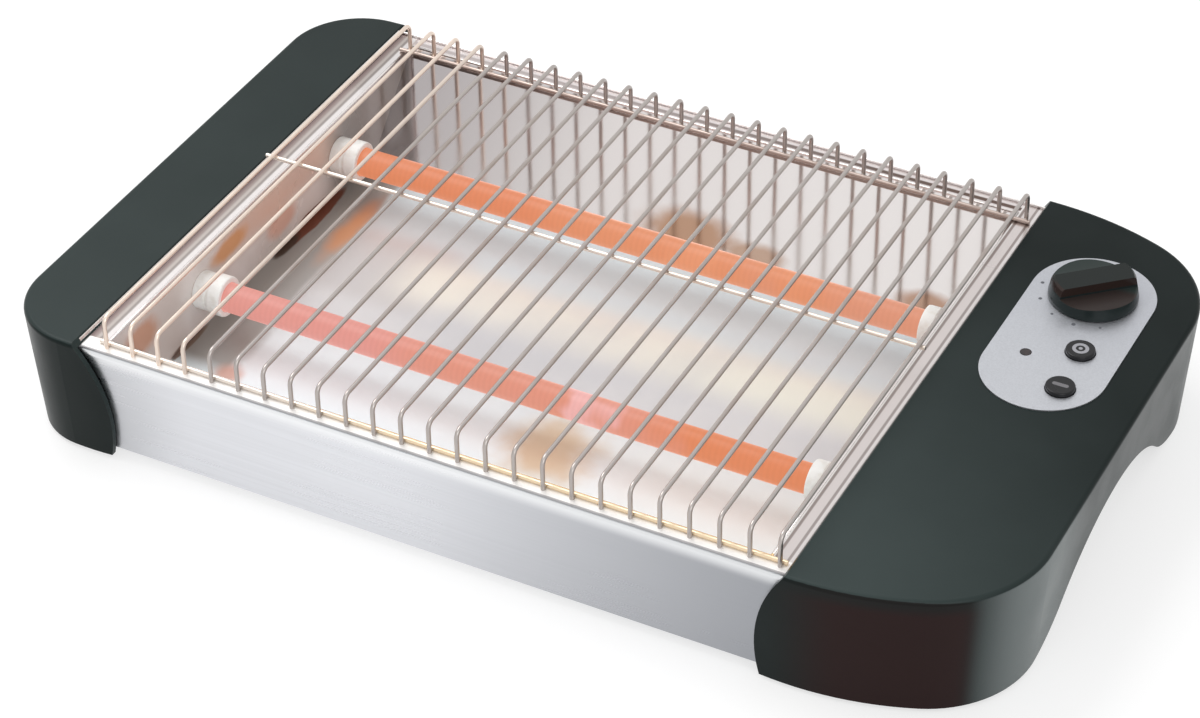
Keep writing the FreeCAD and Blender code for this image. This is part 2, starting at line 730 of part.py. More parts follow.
def make_base_plate():
    """Bottom sheet with end tabs for the cover screws and two rows of vent slots."""
    body = new_body("base_plate")
    inside = panel_face(base_under) - S.steel - S.clearance
    near, far = boss_back - S.tab_width / 2, boss_back + S.tab_width / 2
    left, right = LEFT.at(S.panel_lap), RIGHT.at(S.panel_lap)
    tip = S.boss_across + S.tab_past
    tip_left, tip_right = LEFT.at(tip), RIGHT.at(tip)
    outline = [
        (left, -inside), (right, -inside), (right, -far), (tip_right, -far), (tip_right, -near),
        (right, -near), (right, near), (tip_right, near), (tip_right, far), (right, far),
        (right, inside), (left, inside), (left, far), (tip_left, far), (tip_left, near),
        (left, near), (left, -near), (tip_left, -near), (tip_left, -far), (left, -far),
    ]
    holes = [(side.at(across), back, S.screw + S.clearance * 3)
             for end in (LEFT, RIGHT) for side, across, back in chassis_boss_places(end)]
    pad_up(body, base_under, base_top, [outline])
    cut_down(body, base_top + OVERSHOOT, base_under - OVERSHOOT, (), holes)
    run = S.bay_length - S.vent_margin * 2
    pair = cut_down(body, base_top + OVERSHOOT, base_under - OVERSHOOT, [
        slot(bay_center - run / 2, row * S.tube_spacing / 2, S.vent_breadth, S.vent_length)
        for row in (-1, 1)])
    repeat(body, pair, "X", run, VENTS)
    return body


def make_end_plate(side):
    """Channel that closes a chassis end and holds the necks of the ceramic caps."""
    body = new_body(f"{side.name}_end_plate")
    near, far = S.end_gap, S.end_gap + S.steel
    tip = near - S.end_flange
    outline = [
        (side.at(tip), base_top), (side.at(far), base_top), (side.at(far), flange_under),
        (side.at(tip), flange_under), (side.at(tip), flange_under - S.steel),
        (side.at(near), flange_under - S.steel), (side.at(near), base_top + S.steel),
        (side.at(tip), base_top + S.steel),
    ]
    section = new_sketch(body, "XZ", ZERO, [outline])
    extrude(body, "Pad", section, S.depth - S.end_plate_edge * 2, both=True)
    circles = [(sign * S.tube_spacing / 2, tube_level, S.neck + S.clearance) for sign in (-1, 1)]
    ends = sorted((side.at(near - SHORT_OVERSHOOT), side.at(far + SHORT_OVERSHOOT)),
                  key=lambda size: size.value)
    cut_across(body, *ends, (), circles)
    return body


def make_reflector_tray():
    """Polished bay: sloping front and back walls, flat floor, upright ends and a flange all round."""
    body = new_body("reflector_tray")
    half = S.bay_length / 2 - S.tray_side
    end = S.bay_length / 2 + S.end_gap - S.clearance / 2
    side = panel_face(flange_top) - S.steel
    mouth = half_depth - S.tray_edge
    run = S.tray_drop / tangent(S.tray_slope)
    spread = S.steel / sine(S.tray_slope)
    floor = flange_top - S.tray_drop
    fall = (S.tray_drop + S.steel) / tangent(S.tray_slope)
    outer = [
        (-(mouth + spread), flange_top), (-(mouth + spread - fall), floor - S.steel),
        (mouth + spread - fall, floor - S.steel), (mouth + spread, flange_top),
    ]
    inner = [
        (-mouth, flange_top), (-(mouth - run), floor), (mouth - run, floor), (mouth, flange_top),
        (mouth, flange_top + OVERSHOOT), (-mouth, flange_top + OVERSHOOT),
    ]
    pad_up(body, flange_under, flange_top,
           [rectangle(bay_center - end, -side, bay_center + end, side)])
    pad_across(body, bay_center - half - S.steel, bay_center + half + S.steel, [outer])
    cut_across(body, bay_center - half, bay_center + half, [inner])
    holes = [(sign * S.tube_spacing / 2, tube_level, S.cap_outer + S.clearance * 2) for sign in (-1, 1)]
    cut_across(body, bay_center - half - OVERSHOOT, bay_center + half + OVERSHOOT, (), holes)
    return body


# Distances from a bay edge: the ends of the caps, tubes and pins
cap_start = S.end_gap - S.cap_length
tube_end = cap_start + S.cap_seat - S.tube_play
pin_tip = S.neck_length + S.end_gap + S.pin_past

# Wire rack

wire_level = cover_top + S.rack_rise - S.rack_wire / 2
wire_span = S.bay_length - S.rack_margin * 2
wire_front = half_depth - S.rack_front
wire_back = half_depth - S.rack_back
first_wire = bay_center - wire_span / 2 + S.rack_shift
rod_level = flange_top + S.rack_wire / 2


def make_cross_wires():
    """The rack's cross wires: a leg down to the flange's level in front and behind, and a level run."""
    body = new_body("cross_wires")
    path = new_sketch(body, "YZ", first_wire, [[
        (-wire_front, flange_top),
        (-wire_front, wire_level - S.rack_bend, S.rack_bend, -1),
        (-(wire_front - S.rack_bend), wire_level),
        (wire_back - S.rack_bend, wire_level, S.rack_bend, -1),
        (wire_back, wire_level - S.rack_bend),
        (wire_back, flange_top),
    ]], closed=False)
    ring = new_sketch(body, "XY", flange_top, (), [(first_wire, -wire_front, S.rack_wire)])
    wire = body.newObject("PartDesign::AdditivePipe", "cross_wire")
    wire.Profile = ring
    wire.Spine = (path, [])
    repeat(body, wire, "X", wire_span, WIRES)
    return body


def make_rack_rods():
    """Three rods along the toaster, welded inside the cross wires. The outer two lie on the flange."""
    body = new_body("rack_rods")
    rods = [
        (-(wire_front - S.rack_wire), rod_level, S.rack_wire),
        (S.rod_middle, wire_level - S.rack_wire, S.rack_wire),
        (wire_back - S.rack_wire, rod_level, S.rack_wire),
    ]
    pad_across(body, first_wire - S.rod_overhang, first_wire + wire_span + S.rod_tip, (), rods)
    return body


# Heating tubes

def make_quartz_tube(name, sign):
    body = new_body(name)
    place_of_axis = sign * S.tube_spacing / 2
    start, finish = LEFT.at(tube_end), RIGHT.at(tube_end)
    pad_across(body, start, finish, (), [(place_of_axis, tube_level, S.tube_outer)])
    cut_across(body, start - OVERSHOOT, finish + OVERSHOOT, (),
               [(place_of_axis, tube_level, S.tube_inner)])
    return body


def make_heating_coil(name, sign):
    """The winding's outer form, with the pins that leave through the caps."""
    body = new_body(name)
    back = sign * S.tube_spacing / 2
    coil_end = tube_end - S.coil_margin
    pad_across(body, LEFT.at(coil_end), RIGHT.at(coil_end), (), [(back, tube_level, S.coil_outer)])
    pad_across(body, LEFT.at(pin_tip), RIGHT.at(pin_tip), (), [(back, tube_level, S.pin)])
    return body


def make_ceramic_cap(name, side, sign):
    """Turned ceramic cap: a seat for the tube, a neck for the end plate and a hole for the pin."""
    body = new_body(name)
    seat = S.tube_outer / 2 + S.clearance / 2
    pin = S.pin / 2 + S.clearance / 2
    outer = S.cap_outer / 2
    end = S.cap_length
    revolve(body, "X", [
        (ZERO, seat), (ZERO, outer - S.cap_chamfer), (S.cap_chamfer, outer), (end, outer),
        (end, S.neck / 2), (end + S.neck_length, S.neck / 2), (end + S.neck_length, pin),
        (S.cap_seat, pin), (S.cap_seat, seat),
    ])
    place(body, side.at(cap_start), sign * S.tube_spacing / 2, tube_level,
          turn=ZERO if side.sign > 0 else size_of(FULL_TURN / 2))
    return body


# Controls

def make_control_plate():
    body = new_body("control_plate")
    pad_up(body, plate_bottom, plate_top,
           [slot(plate_middle, plate_back, S.plate_width, S.plate_length)])
    holes = control_holes(S.shaft + S.plate_room, S.button_outer + S.button_gap * 2,
                          S.lamp_outer + S.clearance)
    cut_down(body, plate_top + OVERSHOOT, plate_bottom - OVERSHOOT, (), holes)
    return body


def make_dial_knob():
    """Round knob with a bar across it, left standing between two finger hollows."""
    body = new_body("dial_knob")
    foot, top = S.knob_outer / 2, S.knob_top / 2
    revolve(body, "Z", [
        (ZERO, ZERO), (foot, ZERO), (foot, S.knob_foot), (top, S.knob_height - S.knob_crown),
        (top - S.knob_crown, S.knob_height), (ZERO, S.knob_height),
    ])
    bar = S.grip_width / 2
    over = S.knob_height + OVERSHOOT
    beyond = foot + OVERSHOOT
    for sign in (-1, 1):
        hollow = [
            (sign * bar, over),
            (sign * bar, S.knob_rim - S.knob_dish, S.grip_hollow, sign),
            (sign * beyond, S.knob_rim + S.knob_dish / 2),
            (sign * beyond, over),
        ]
        cut_across(body, -beyond, beyond, [hollow])
    cut_down(body, S.knob_height - S.knob_roof, -size_of(OVERSHOOT), (),
             [(ZERO, ZERO, S.shaft + S.shaft_play * 2)])
    place(body, plate_middle, knob_back, knob_under, turn=S.grip_turn)
    return body


shaft_bottom = board_top + S.shaft_lift


def make_dial_shaft():
    body = new_body("dial_shaft")
    top = knob_under + S.knob_height - S.knob_roof
    pad_up(body, shaft_bottom, top, (), [(plate_middle, knob_back, S.shaft)])
    return body


def make_dial_switch():
    """Rotary switch on the board, with the collar that guides the dial's shaft."""
    body = new_body("dial_switch")
    half = S.dial_side / 2
    top = board_top + S.dial_height
    pad_up(body, board_top, top, [rectangle(plate_middle - half, knob_back - half,
                                            plate_middle + half, knob_back + half)])
    pad_up(body, top - S.collar_root, cover_under, (),
           [(plate_middle, knob_back, S.shaft + S.collar_more)])
    cut_down(body, cover_top, shaft_bottom - S.gap, (),
             [(plate_middle, knob_back, S.shaft + S.shaft_play * 2)])
    return body


def make_button(name, x, back):
    """Push button with the flange that holds it under the cover."""
    body = new_body(name)
    top = plate_top + S.button_proud
    flange = cover_under - S.gap
    column = pad_up(body, flange - S.button_root, top, (), [(x, back, S.button_outer)])
    fillet(body, column, lambda edge: abs(edge.BoundBox.ZMin - top.value) < TOLERANCE, S.button_round)
    pad_up(body, button_under, flange, (), [(x, back, S.button_flange)])
    return body


def make_plunger(name, x, back):
    """Stem between a button and its switch, sliding in the switch's bore."""
    body = new_body(name)
    switch_top = board_top + S.switch_height
    pad_up(body, switch_top - S.stem_depth, button_under, (), [(x, back, S.stem)])
    return body


def make_push_switch(name, x, back):
    body = new_body(name)
    half = S.switch_side / 2
    top = board_top + S.switch_height
    pad_up(body, board_top, top, [rectangle(x - half, back - half, x + half, back + half)])
    cut_down(body, top + OVERSHOOT, top - S.stem_depth - S.button_travel - S.gap, (),
             [(x, back, S.stem + S.shaft_play * 2)])
    return body


lens_bottom = board_top + S.lamp_height


def make_indicator_lens():
    """Light pipe from the lamp on the board to the face of the plate."""
    body = new_body("indicator_lens")
    pad_up(body, lens_bottom, plate_top + S.lens_proud, (), [(*LAMP, S.lamp_outer)])
    pad_up(body, cover_under - S.lens_flange_thick, cover_under, (),
           [(*LAMP, S.lamp_outer + S.lens_flange_more)])
    return body


def make_indicator_lamp():
    body = new_body("indicator_lamp")
    pad_up(body, board_top, lens_bottom, (), [(*LAMP, S.lamp_outer + S.lamp_more)])
    return body


def make_control_board():
    body = new_body("control_board")
    pad_up(body, board_under, board_top,
           [rectangle(plate_middle - S.board_width / 2, board_back - S.board_length / 2,
                      plate_middle + S.board_width / 2, board_back + S.board_length / 2)])
    holes = [(RIGHT.at(across), back, S.screw + S.clearance * 2) for across, back in board_screw_places]
    cut_down(body, board_top + OVERSHOOT, board_under - OVERSHOOT, (), holes)
    return body


relay_middle = plate_middle - S.relay_left
relay_back = plate_back + S.relay_behind


def make_power_relay():
    body = new_body("power_relay")
    side, half = S.relay_width / 2, S.relay_length / 2
    pad_up(body, board_under - S.relay_height, board_under, [
        rectangle(relay_middle - side, relay_back - half, relay_middle + side, relay_back + half)])
    return body


def make_filter_capacitor():
    body = new_body("filter_capacitor")
    back = relay_back - S.relay_length / 2 - S.capacitor_ahead
    pad_up(body, board_under - S.capacitor_height, board_under, (),
           [(relay_middle + S.capacitor_right, back, S.capacitor_outer)])
    return body


def make_terminal_block():
    """Three-way screw terminal on the housing's floor."""
    body = new_body("terminal_block")
    middle, front = relay_middle - S.terminal_left, relay_back + S.terminal_behind
    half, top = S.terminal_cell * TERMINALS / 2, housing_floor + S.terminal_height
    pad_up(body, housing_floor, top,
           [rectangle(middle - half, front, middle + half, front + S.terminal_depth)])
    wells = [(middle + S.terminal_cell * number, front + offset, S.terminal_well)
             for number in (-1, 0, 1)
             for offset in (S.terminal_well_edge, S.terminal_depth - S.terminal_well_edge)]
    cut_down(body, top + SHORT_OVERSHOOT, top - S.terminal_well_depth, (), wells)
    return body


def make_thermal_cutout():
    """Disc thermostat under the reflector's floor, with its two tabs."""
    body = new_body("thermal_cutout")
    top = flange_top - S.tray_drop - S.steel
    tab_top, side = top - S.cutout_tab_drop, S.cutout_tab_width / 2
    pad_up(body, top - S.cutout_height, top, (), [(bay_center, ZERO, S.cutout_outer)])
    pad_up(body, tab_top - S.steel, tab_top, [
        rectangle(bay_center - S.cutout_tab_reach, -side, bay_center + S.cutout_tab_reach, side)])
    return body


# Inner mouldings

def make_control_housing():
    """Tub under the controls: deep beside the bay, shallow over the hand hold."""
    body = new_body("control_housing")
    near = S.end_gap + S.steel + S.moulding_gap
    top = cover_under - S.clearance

    def section(inset, roof):
        low = RIGHT.at(S.right_width - S.housing_low - inset)
        high = RIGHT.at(S.right_width - S.housing_high - inset)
        shelf = S.housing_shelf + inset
        return [
            (RIGHT.at(near + inset), base_top + inset), (low, base_top + inset), (low, shelf),
            (high, shelf), (high, roof), (RIGHT.at(near + inset), roof),
        ]

    outside = new_sketch(body, "XZ", ZERO, [section(ZERO, top)])
    extrude(body, "Pad", outside, housing_half * 2, both=True)
    inside = new_sketch(body, "XZ", ZERO, [section(S.moulding, top + OVERSHOOT)])
    extrude(body, "Pocket", inside, housing_half * 2 - S.moulding * 2, both=True)
    holes = [(RIGHT.at(across), back, S.screw + S.clearance * 2) for across, back, _ in HOUSING_BOSSES]
    cut_down(body, housing_floor + SHORT_OVERSHOOT, base_top - SHORT_OVERSHOOT, (), holes)
    necks = [(sign * S.tube_spacing / 2, tube_level, S.neck + S.neck_room) for sign in (-1, 1)]
    far = near + S.moulding
    cut_across(body, RIGHT.at(near - SHORT_OVERSHOOT), RIGHT.at(far + SHORT_OVERSHOOT), (), necks)
    mouth = new_sketch(body, "XZ", housing_half + OVERSHOOT, (),
                       [(RIGHT.at(S.inlet_across + S.mouth_shift), S.inlet_height,
                         S.inlet_bore + S.mouth_room)])
    extrude(body, "Pocket", mouth, OVERSHOOT * 2, back=True)
    return body


def make_lead_guard():
    """Angle in the left cover that keeps fingers off the tube pins."""
    body = new_body("lead_guard")
    near = S.end_gap + S.steel + S.moulding_gap
    outer = S.guard_width
    top = cover_under - S.clearance
    section = [
        (LEFT.at(near), base_top), (LEFT.at(outer), base_top), (LEFT.at(outer), top),
        (LEFT.at(outer - S.moulding), top), (LEFT.at(outer - S.moulding), housing_floor),
        (LEFT.at(near), housing_floor),
    ]
    sketch = new_sketch(body, "XZ", ZERO, [section])
    extrude(body, "Pad", sketch, S.depth - S.guard_edge * 2, both=True)
    cut_down(body, housing_floor + SHORT_OVERSHOOT, base_top - SHORT_OVERSHOOT, (),
             [(LEFT.at(across), back, S.screw + S.clearance * 2) for across, back, _ in GUARD_BOSSES])
    return body


def make_lead(name, corners):
    """Insulated lead along a level path of (x, y) corners, at the height of the tubes."""
    body = new_body(name)
    path = new_sketch(body, "XY", tube_level, [corners], closed=False)
    start, following = corners[0], corners[1]
    along_x = size_of(start[1]).text == size_of(following[1]).text
    plane, lift, across = ("YZ", start[0], start[1]) if along_x else ("XZ", start[1], start[0])
    ring = new_sketch(body, plane, lift, (), [(across, tube_level, S.lead)])
    lead = body.newObject("PartDesign::AdditivePipe", f"{name}_pipe")
    lead.Profile = ring
    lead.Spine = (path, [])
    return body


def make_front_lead():
    """From the front tube's pin, along the housing to the relay."""
    row, along = -S.tube_spacing / 2, plate_middle - S.lead_left
    bend = S.lead_bend
    return make_lead("front_tube_lead", [
        (RIGHT.at(pin_tip + S.clearance), row), (along - bend, row, bend, 1), (along, row + bend),
        (along, relay_back - S.relay_length / 2 - S.clearance),
    ])


def make_rear_lead():
    """From the rear tube's pin to the relay beside it."""
    row = S.tube_spacing / 2
    return make_lead("rear_tube_lead", [
        (RIGHT.at(pin_tip + S.clearance), row),
        (relay_middle - S.relay_width / 2 - S.clearance, row),
    ])


def make_link_lead():
    """Joins the two tubes' pins behind the lead guard."""
    along = LEFT.at(pin_tip + S.clearance + S.lead / 2)
    half = S.tube_spacing / 2 + S.lead / 2
    return make_lead("link_lead", [(along, -half), (along, half)])


def make_cable_inlet():
    """Bush in the back wall of the right cover."""
    body = new_body("cable_inlet")
    bore, outer, flange = S.inlet_bore / 2, S.inlet_outer / 2, S.inlet_flange / 2
    revolve(body, "Y", [
        (-S.inlet_length, bore), (-S.inlet_length, outer), (ZERO, outer), (ZERO, flange),
        (S.inlet_lip_edge, flange), (S.inlet_lip, flange - S.inlet_slope), (S.inlet_lip, bore),
    ])
    bow_fall = S.cover_bow - root(S.cover_bow * S.cover_bow - S.inlet_across * S.inlet_across)
    wall_outside = half_depth - bow_fall - (cover_top - S.inlet_height) * lean
    place(body, RIGHT.at(S.inlet_across), wall_outside + S.inlet_proud, S.inlet_height)
    return body


def make_rubber_foot(name, side, sign):
    body = new_body(name)
    pad, stem = S.foot / 2, S.foot_stem / 2
    revolve(body, "Z", [
        (ZERO, ZERO), (pad - S.foot_chamfer, ZERO), (pad, S.foot_chamfer), (pad, S.foot_height),
        (stem, S.foot_height), (stem, S.foot_height + S.foot_stem_length),
        (ZERO, S.foot_height + S.foot_stem_length),
    ])
    across, back = side.feet
    place(body, side.at(across), sign * back)
    return body


def make_screws(name, places, length):
    """A group of like screws driven upwards; places are (x, y, height of the seat)."""
    screws = []
    for number, (x, y, seat) in enumerate(places):
        head = doc.addObject("Part::Cylinder", f"{name}_head_{number}")
        bind(head, "Radius", S.screw_head / 2)
        bind(head, "Height", S.screw_head_height)
        place(head, x, y, seat - S.screw_head_height)
        shank = doc.addObject("Part::Cylinder", f"{name}_shank_{number}")
        bind(shank, "Radius", S.screw / 2)
        bind(shank, "Height", length)
        place(shank, x, y, seat)
        screw = doc.addObject("Part::Fuse", f"{name}_{number}")
        screw.Base = head
        screw.Tool = shank
        screws.append(screw)
    group = doc.addObject("Part::Compound", name)
    group.Label = name
    group.Links = screws
    return group


chassis_screw_places = [(side.at(across), back, base_under)
                        for end in (LEFT, RIGHT) for side, across, back in chassis_boss_places(end)]
housing_screw_places = [(RIGHT.at(across), back, base_top) for across, back, _ in HOUSING_BOSSES]
housing_screw_places += [(LEFT.at(across), back, base_top) for across, back, _ in GUARD_BOSSES]
board_screw_seats = [(RIGHT.at(across), back, board_under) for across, back in board_screw_places]

NODES = [
    make_left_cover(),
    make_right_cover(),
    make_panel("front_panel", -1),
    make_panel("rear_panel", 1),
    make_base_plate(),
    make_end_plate(LEFT),
    make_end_plate(RIGHT),
    make_reflector_tray(),
    make_cross_wires(),
    make_rack_rods(),
    make_control_plate(),
    make_dial_knob(),
    make_dial_shaft(),
    make_dial_switch(),
    make_button("ring_button", *RING),
    make_button("bar_button", *BAR),
    make_plunger("ring_plunger", *RING),
    make_plunger("bar_plunger", *BAR),
    make_push_switch("ring_switch", *RING),
    make_push_switch("bar_switch", *BAR),
    make_indicator_lens(),
    make_indicator_lamp(),
    make_control_board(),
    make_power_relay(),
    make_filter_capacitor(),
    make_terminal_block(),
    make_thermal_cutout(),
    make_control_housing(),
    make_lead_guard(),
    make_front_lead(),
    make_rear_lead(),
    make_link_lead(),
    make_cable_inlet(),
    make_screws("chassis_screws", chassis_screw_places, S.screw_length),
    make_screws("housing_screws", housing_screw_places, S.screw_length),
    make_screws("board_screws", board_screw_seats, S.small_screw_length),
]
for row_name, row_sign in (("front", -1), ("rear", 1)):
    NODES.append(make_quartz_tube(f"{row_name}_quartz_tube", row_sign))
    NODES.append(make_heating_coil(f"{row_name}_heating_coil", row_sign))
    for end in (LEFT, RIGHT):
        NODES.append(make_ceramic_cap(f"{row_name}_{end.name}_cap", end, row_sign))
        NODES.append(make_rubber_foot(f"{row_name}_{end.name}_foot", end, row_sign))

doc.recompute()
failed = [f"{item.Label}: {item.State}" for item in doc.Objects
          if "Invalid" in item.State or "Error" in item.State]
failed += [f"{node.Label}: bad shape" for node in NODES
           if node.Shape.isNull() or not node.Shape.isValid() or not node.Shape.Solids]
if failed:
    raise RuntimeError("; ".join(failed))

os.makedirs("parts", exist_ok=True)
for node in NODES:
    node.Shape.exportStep(f"parts/{node.Label}.step")
    box = node.Shape.BoundBox
    print(f"{node.Label}: {len(node.Shape.Solids)} solid(s), {node.Shape.Volume:.0f} mm3, "
          f"x {box.XMin:.1f} {box.XMax:.1f}, y {box.YMin:.1f} {box.YMax:.1f}, "
          f"z {box.ZMin:.1f} {box.ZMax:.1f}")
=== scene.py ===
import math

import bpy
from mathutils import Matrix, Vector


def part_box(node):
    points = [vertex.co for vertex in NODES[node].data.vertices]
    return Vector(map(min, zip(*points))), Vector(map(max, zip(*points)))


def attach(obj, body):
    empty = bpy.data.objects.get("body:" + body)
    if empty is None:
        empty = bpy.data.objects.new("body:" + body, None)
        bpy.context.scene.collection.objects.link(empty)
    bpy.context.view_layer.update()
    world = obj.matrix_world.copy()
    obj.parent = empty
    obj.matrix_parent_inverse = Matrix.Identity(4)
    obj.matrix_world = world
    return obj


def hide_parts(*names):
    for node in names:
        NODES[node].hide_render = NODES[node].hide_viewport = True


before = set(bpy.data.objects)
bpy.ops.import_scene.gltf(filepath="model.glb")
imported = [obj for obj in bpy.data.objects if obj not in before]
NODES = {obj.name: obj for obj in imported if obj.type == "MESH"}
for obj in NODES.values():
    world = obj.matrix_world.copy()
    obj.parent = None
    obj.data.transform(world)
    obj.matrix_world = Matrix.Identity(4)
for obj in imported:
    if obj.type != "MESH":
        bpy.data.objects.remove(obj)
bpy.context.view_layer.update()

MM = 0.001

# Sizes of the pieces that only the scene has, in metres unless a comment says otherwise

WIRES = 25
RACK_WIRE = 1.8 * MM
MIDDLE_ROD = 3.5 * MM  # Y of the rack's middle rod

WINDING_RADIUS = 3.1 * MM
WINDING_WIRE = 0.35 * MM  # radius of the resistance wire
WINDING_PITCH = 2.4 * MM
WINDING_START = 12 * MM  # first turn from the tube's end
WINDING_TAIL = 4 * MM  # straight wire before the first turn
TURN_POINTS = 10  # points of the path in one turn

BEAD_RADIUS = 0.65 * MM
BEAD_TIP = 0.05 * MM  # radius of a weld bead's flat ends
BEAD_REACH = 0.88 * MM  # weld bead's middle to its end
BEAD_SPREAD = 1.25  # a bead's width for its height

SLEEVE_WALLS = ((-161.2 * MM, 1), (119.2 * MM, -1))  # X of the bay's end walls, and the way inwards
SLEEVE_SECTION = (  # radius and distance from the wall, in millimetres
    (6.3, 0.0), (7.4, 0.0), (7.9, 0.5), (7.9, 5.2), (7.3, 5.8), (7.3, 6.4), (7.9, 7.0), (8.4, 7.6),
    (8.4, 12.1), (8.2, 12.7), (7.7, 12.9), (6.3, 12.9))

MOUTH_LEFT, MOUTH_RIGHT = -161 * MM, 119 * MM
MOUTH_DEPTH = 116.9 * MM  # from the middle to the bay's front and back edge
HEM_RADIUS = 0.6 * MM
HEM_SINK = 0.1 * MM  # middle of the hem below the flange's top

LIP_ENDS = ((-171 * MM, 1), (129 * MM, -1))  # X of the tray's ends, and the way inwards
LIP_DEPTH = 122.5 * MM  # from the middle to a side lip's end
LIP_THICK = 0.5 * MM
LIP_FOOT, LIP_TIP = 1.2 * MM, 0.3 * MM  # a side lip's foot and tip from the tray's end
LIP_RISE = 2.1 * MM  # over the flange
LIP_ROOT, LIP_ROUND = 0.2 * MM, 0.3 * MM  # how deep the lip starts in the flange, and its narrowing top
BACK_LIP_MIDDLE, BACK_LIP_Y = -21 * MM, 123.8 * MM
BACK_LIP_REACH, BACK_LIP_RISE, BACK_LIP_RADIUS = 150 * MM, 0.6 * MM, 0.5 * MM

PRINT = 0.03 * MM  # half the thickness of a printed mark
RING_MARK = ((1.8 * MM, 3.2 * MM), (0.02 * MM, 0.8 * MM))  # inner and outer radius of the ring and its dot
BAR_MARK_REACH, BAR_MARK_RADIUS = 2.3 * MM, 0.95 * MM
DIAL_CENTER = (167 * MM, 73.9 * MM)
DIAL_DOTS_REACH = 20.6 * MM
DIAL_DOTS = (  # place round the dial in degrees, and radius in millimetres
    (-178.0, 0.75), (-148.6, 0.75), (-119.0, 0.6), (-90.5, 0.85), (-62.0, 0.6))


# Materials
# Limits on x, y and z are places in metres. Those on nx, ny and nz are parts of the way a face looks.

def srgb(red, green, blue):
    """A colour of the screen, 0 to 255, as the linear colour that shaders take."""
    linear = []
    for part in (red, green, blue):
        part /= 255
        linear.append(part / 12.92 if part <= 0.04045 else ((part + 0.055) / 1.055) ** 2.4)
    return (*linear, 1.0)


def shaded(color, factor):
    """The colour made darker or lighter by a factor."""
    return tuple(min(1.0, part * factor) for part in color[:3]) + (1.0,)


def add_node(tree, kind, inputs=None, **settings):
    """Adds a node. Each input is a constant, or the output socket that feeds it."""
    node = tree.nodes.new(kind)
    for key, value in settings.items():
        setattr(node, key, value)
    for key, value in (inputs or {}).items():
        if isinstance(value, bpy.types.NodeSocket):
            tree.links.new(value, node.inputs[key])
        else:
            node.inputs[key].default_value = value
    return node


def mixed_color(tree, factor, first, second):
    return add_node(tree, "ShaderNodeMix", {0: factor, 6: first, 7: second}, data_type="RGBA").outputs[2]


class Surface:
    """A material under construction. Its methods add nodes and return their output sockets."""

    def __init__(self, name, color, roughness, metallic=0.0, **sockets):
        self.material = bpy.data.materials.new(name)
        self.material.use_nodes = True
        self.tree = self.material.node_tree
        self.shader = self.tree.nodes["Principled BSDF"]
        self.shader.inputs["Base Color"].default_value = color
        self.shader.inputs["Roughness"].default_value = roughness
        self.shader.inputs["Metallic"].default_value = metallic
        for socket, value in sockets.items():
            self.shader.inputs[socket.replace("_", " ")].default_value = value
        self.place = self.add("ShaderNodeTexCoord").outputs["Object"]

    def add(self, kind, inputs=None, **settings):
        return add_node(self.tree, kind, inputs, **settings)

    def stretched(self, x, y, z):
        return self.add("ShaderNodeMapping", {"Vector": self.place, "Scale": (x, y, z)}).outputs["Vector"]

    def noise(self, scale, detail=2.0, roughness=0.5, at=None):
        return self.add("ShaderNodeTexNoise", {
            "Vector": at or self.place, "Scale": scale, "Detail": detail,
            "Roughness": roughness}).outputs["Fac"]

    def spread(self, value, low, high, to_low=0.0, to_high=1.0, smooth=True):
        """Maps low..high of a value to to_low..to_high, clamped."""
        return self.add("ShaderNodeMapRange", {
            "Value": value, "From Min": low, "From Max": high, "To Min": to_low, "To Max": to_high},
            interpolation_type="SMOOTHSTEP" if smooth else "LINEAR").outputs["Result"]

    def clouds(self, scale, detail=2.0, to_low=0.0, to_high=1.0):
        """Noise spread over a range. Nearly all of its values lie between the two limits used here."""
        return self.spread(self.noise(scale, detail), 0.3, 0.7, to_low, to_high)

    def math(self, operation, first, second=0.0):
        return self.add("ShaderNodeMath", {0: first, 1: second}, operation=operation).outputs[0]

    def times(self, first, *others):
        for other in others:
            first = self.math("MULTIPLY", first, other)
        return first

    def blend(self, factor, first, second):
        return mixed_color(self.tree, factor, first, second)

    def ramp(self, value, color, *steps):
        """A colour that changes along a value. Each step has its start, its end and the colour after it."""
        for low, high, tone in steps:
            color = self.blend(self.spread(value, low, high), color, tone)
        return color

    def xyz(self, vector):
        outputs = self.add("ShaderNodeSeparateXYZ", {"Vector": vector}).outputs
        return outputs["X"], outputs["Y"], outputs["Z"]

    def axes(self):
        return self.xyz(self.place)

    def facing(self):
        return self.xyz(self.add("ShaderNodeNewGeometry").outputs["Normal"])

    def spot(self, center, size, core=0.4, ragged=0.35, grain=60.0):
        """1 inside the core of an oval patch, falling to 0 at its uneven edge."""
        shifted = self.add("ShaderNodeVectorMath", {0: self.place, 1: tuple(-c for c in center)})
        scaled = self.add("ShaderNodeVectorMath", {
            0: shifted.outputs[0], 1: tuple(1 / s for s in size)}, operation="MULTIPLY")
        far = self.add("ShaderNodeVectorMath", {0: scaled.outputs[0]}, operation="LENGTH").outputs["Value"]
        uneven = self.times(self.noise(grain, 4.0), ragged * 2)
        return self.spread(self.math("ADD", far, uneven), core + ragged, 1.0 + ragged, 1.0, 0.0)

    def color(self):
        """The output that feeds the base colour so far."""
        return self.shader.inputs["Base Color"].links[0].from_socket

    def set(self, socket, value):
        self.tree.links.new(value, self.shader.inputs[socket])

    def bump(self, height, strength, distance):
        """Adds a height to the surface's bump. Later calls stack on the earlier ones."""
        node = self.add("ShaderNodeBump", {"Height": height, "Strength": strength, "Distance": distance})
        links = self.shader.inputs["Normal"].links
        if links:
            self.tree.links.new(links[0].from_socket, node.inputs["Normal"])
        self.tree.links.new(node.outputs["Normal"], self.shader.inputs["Normal"])


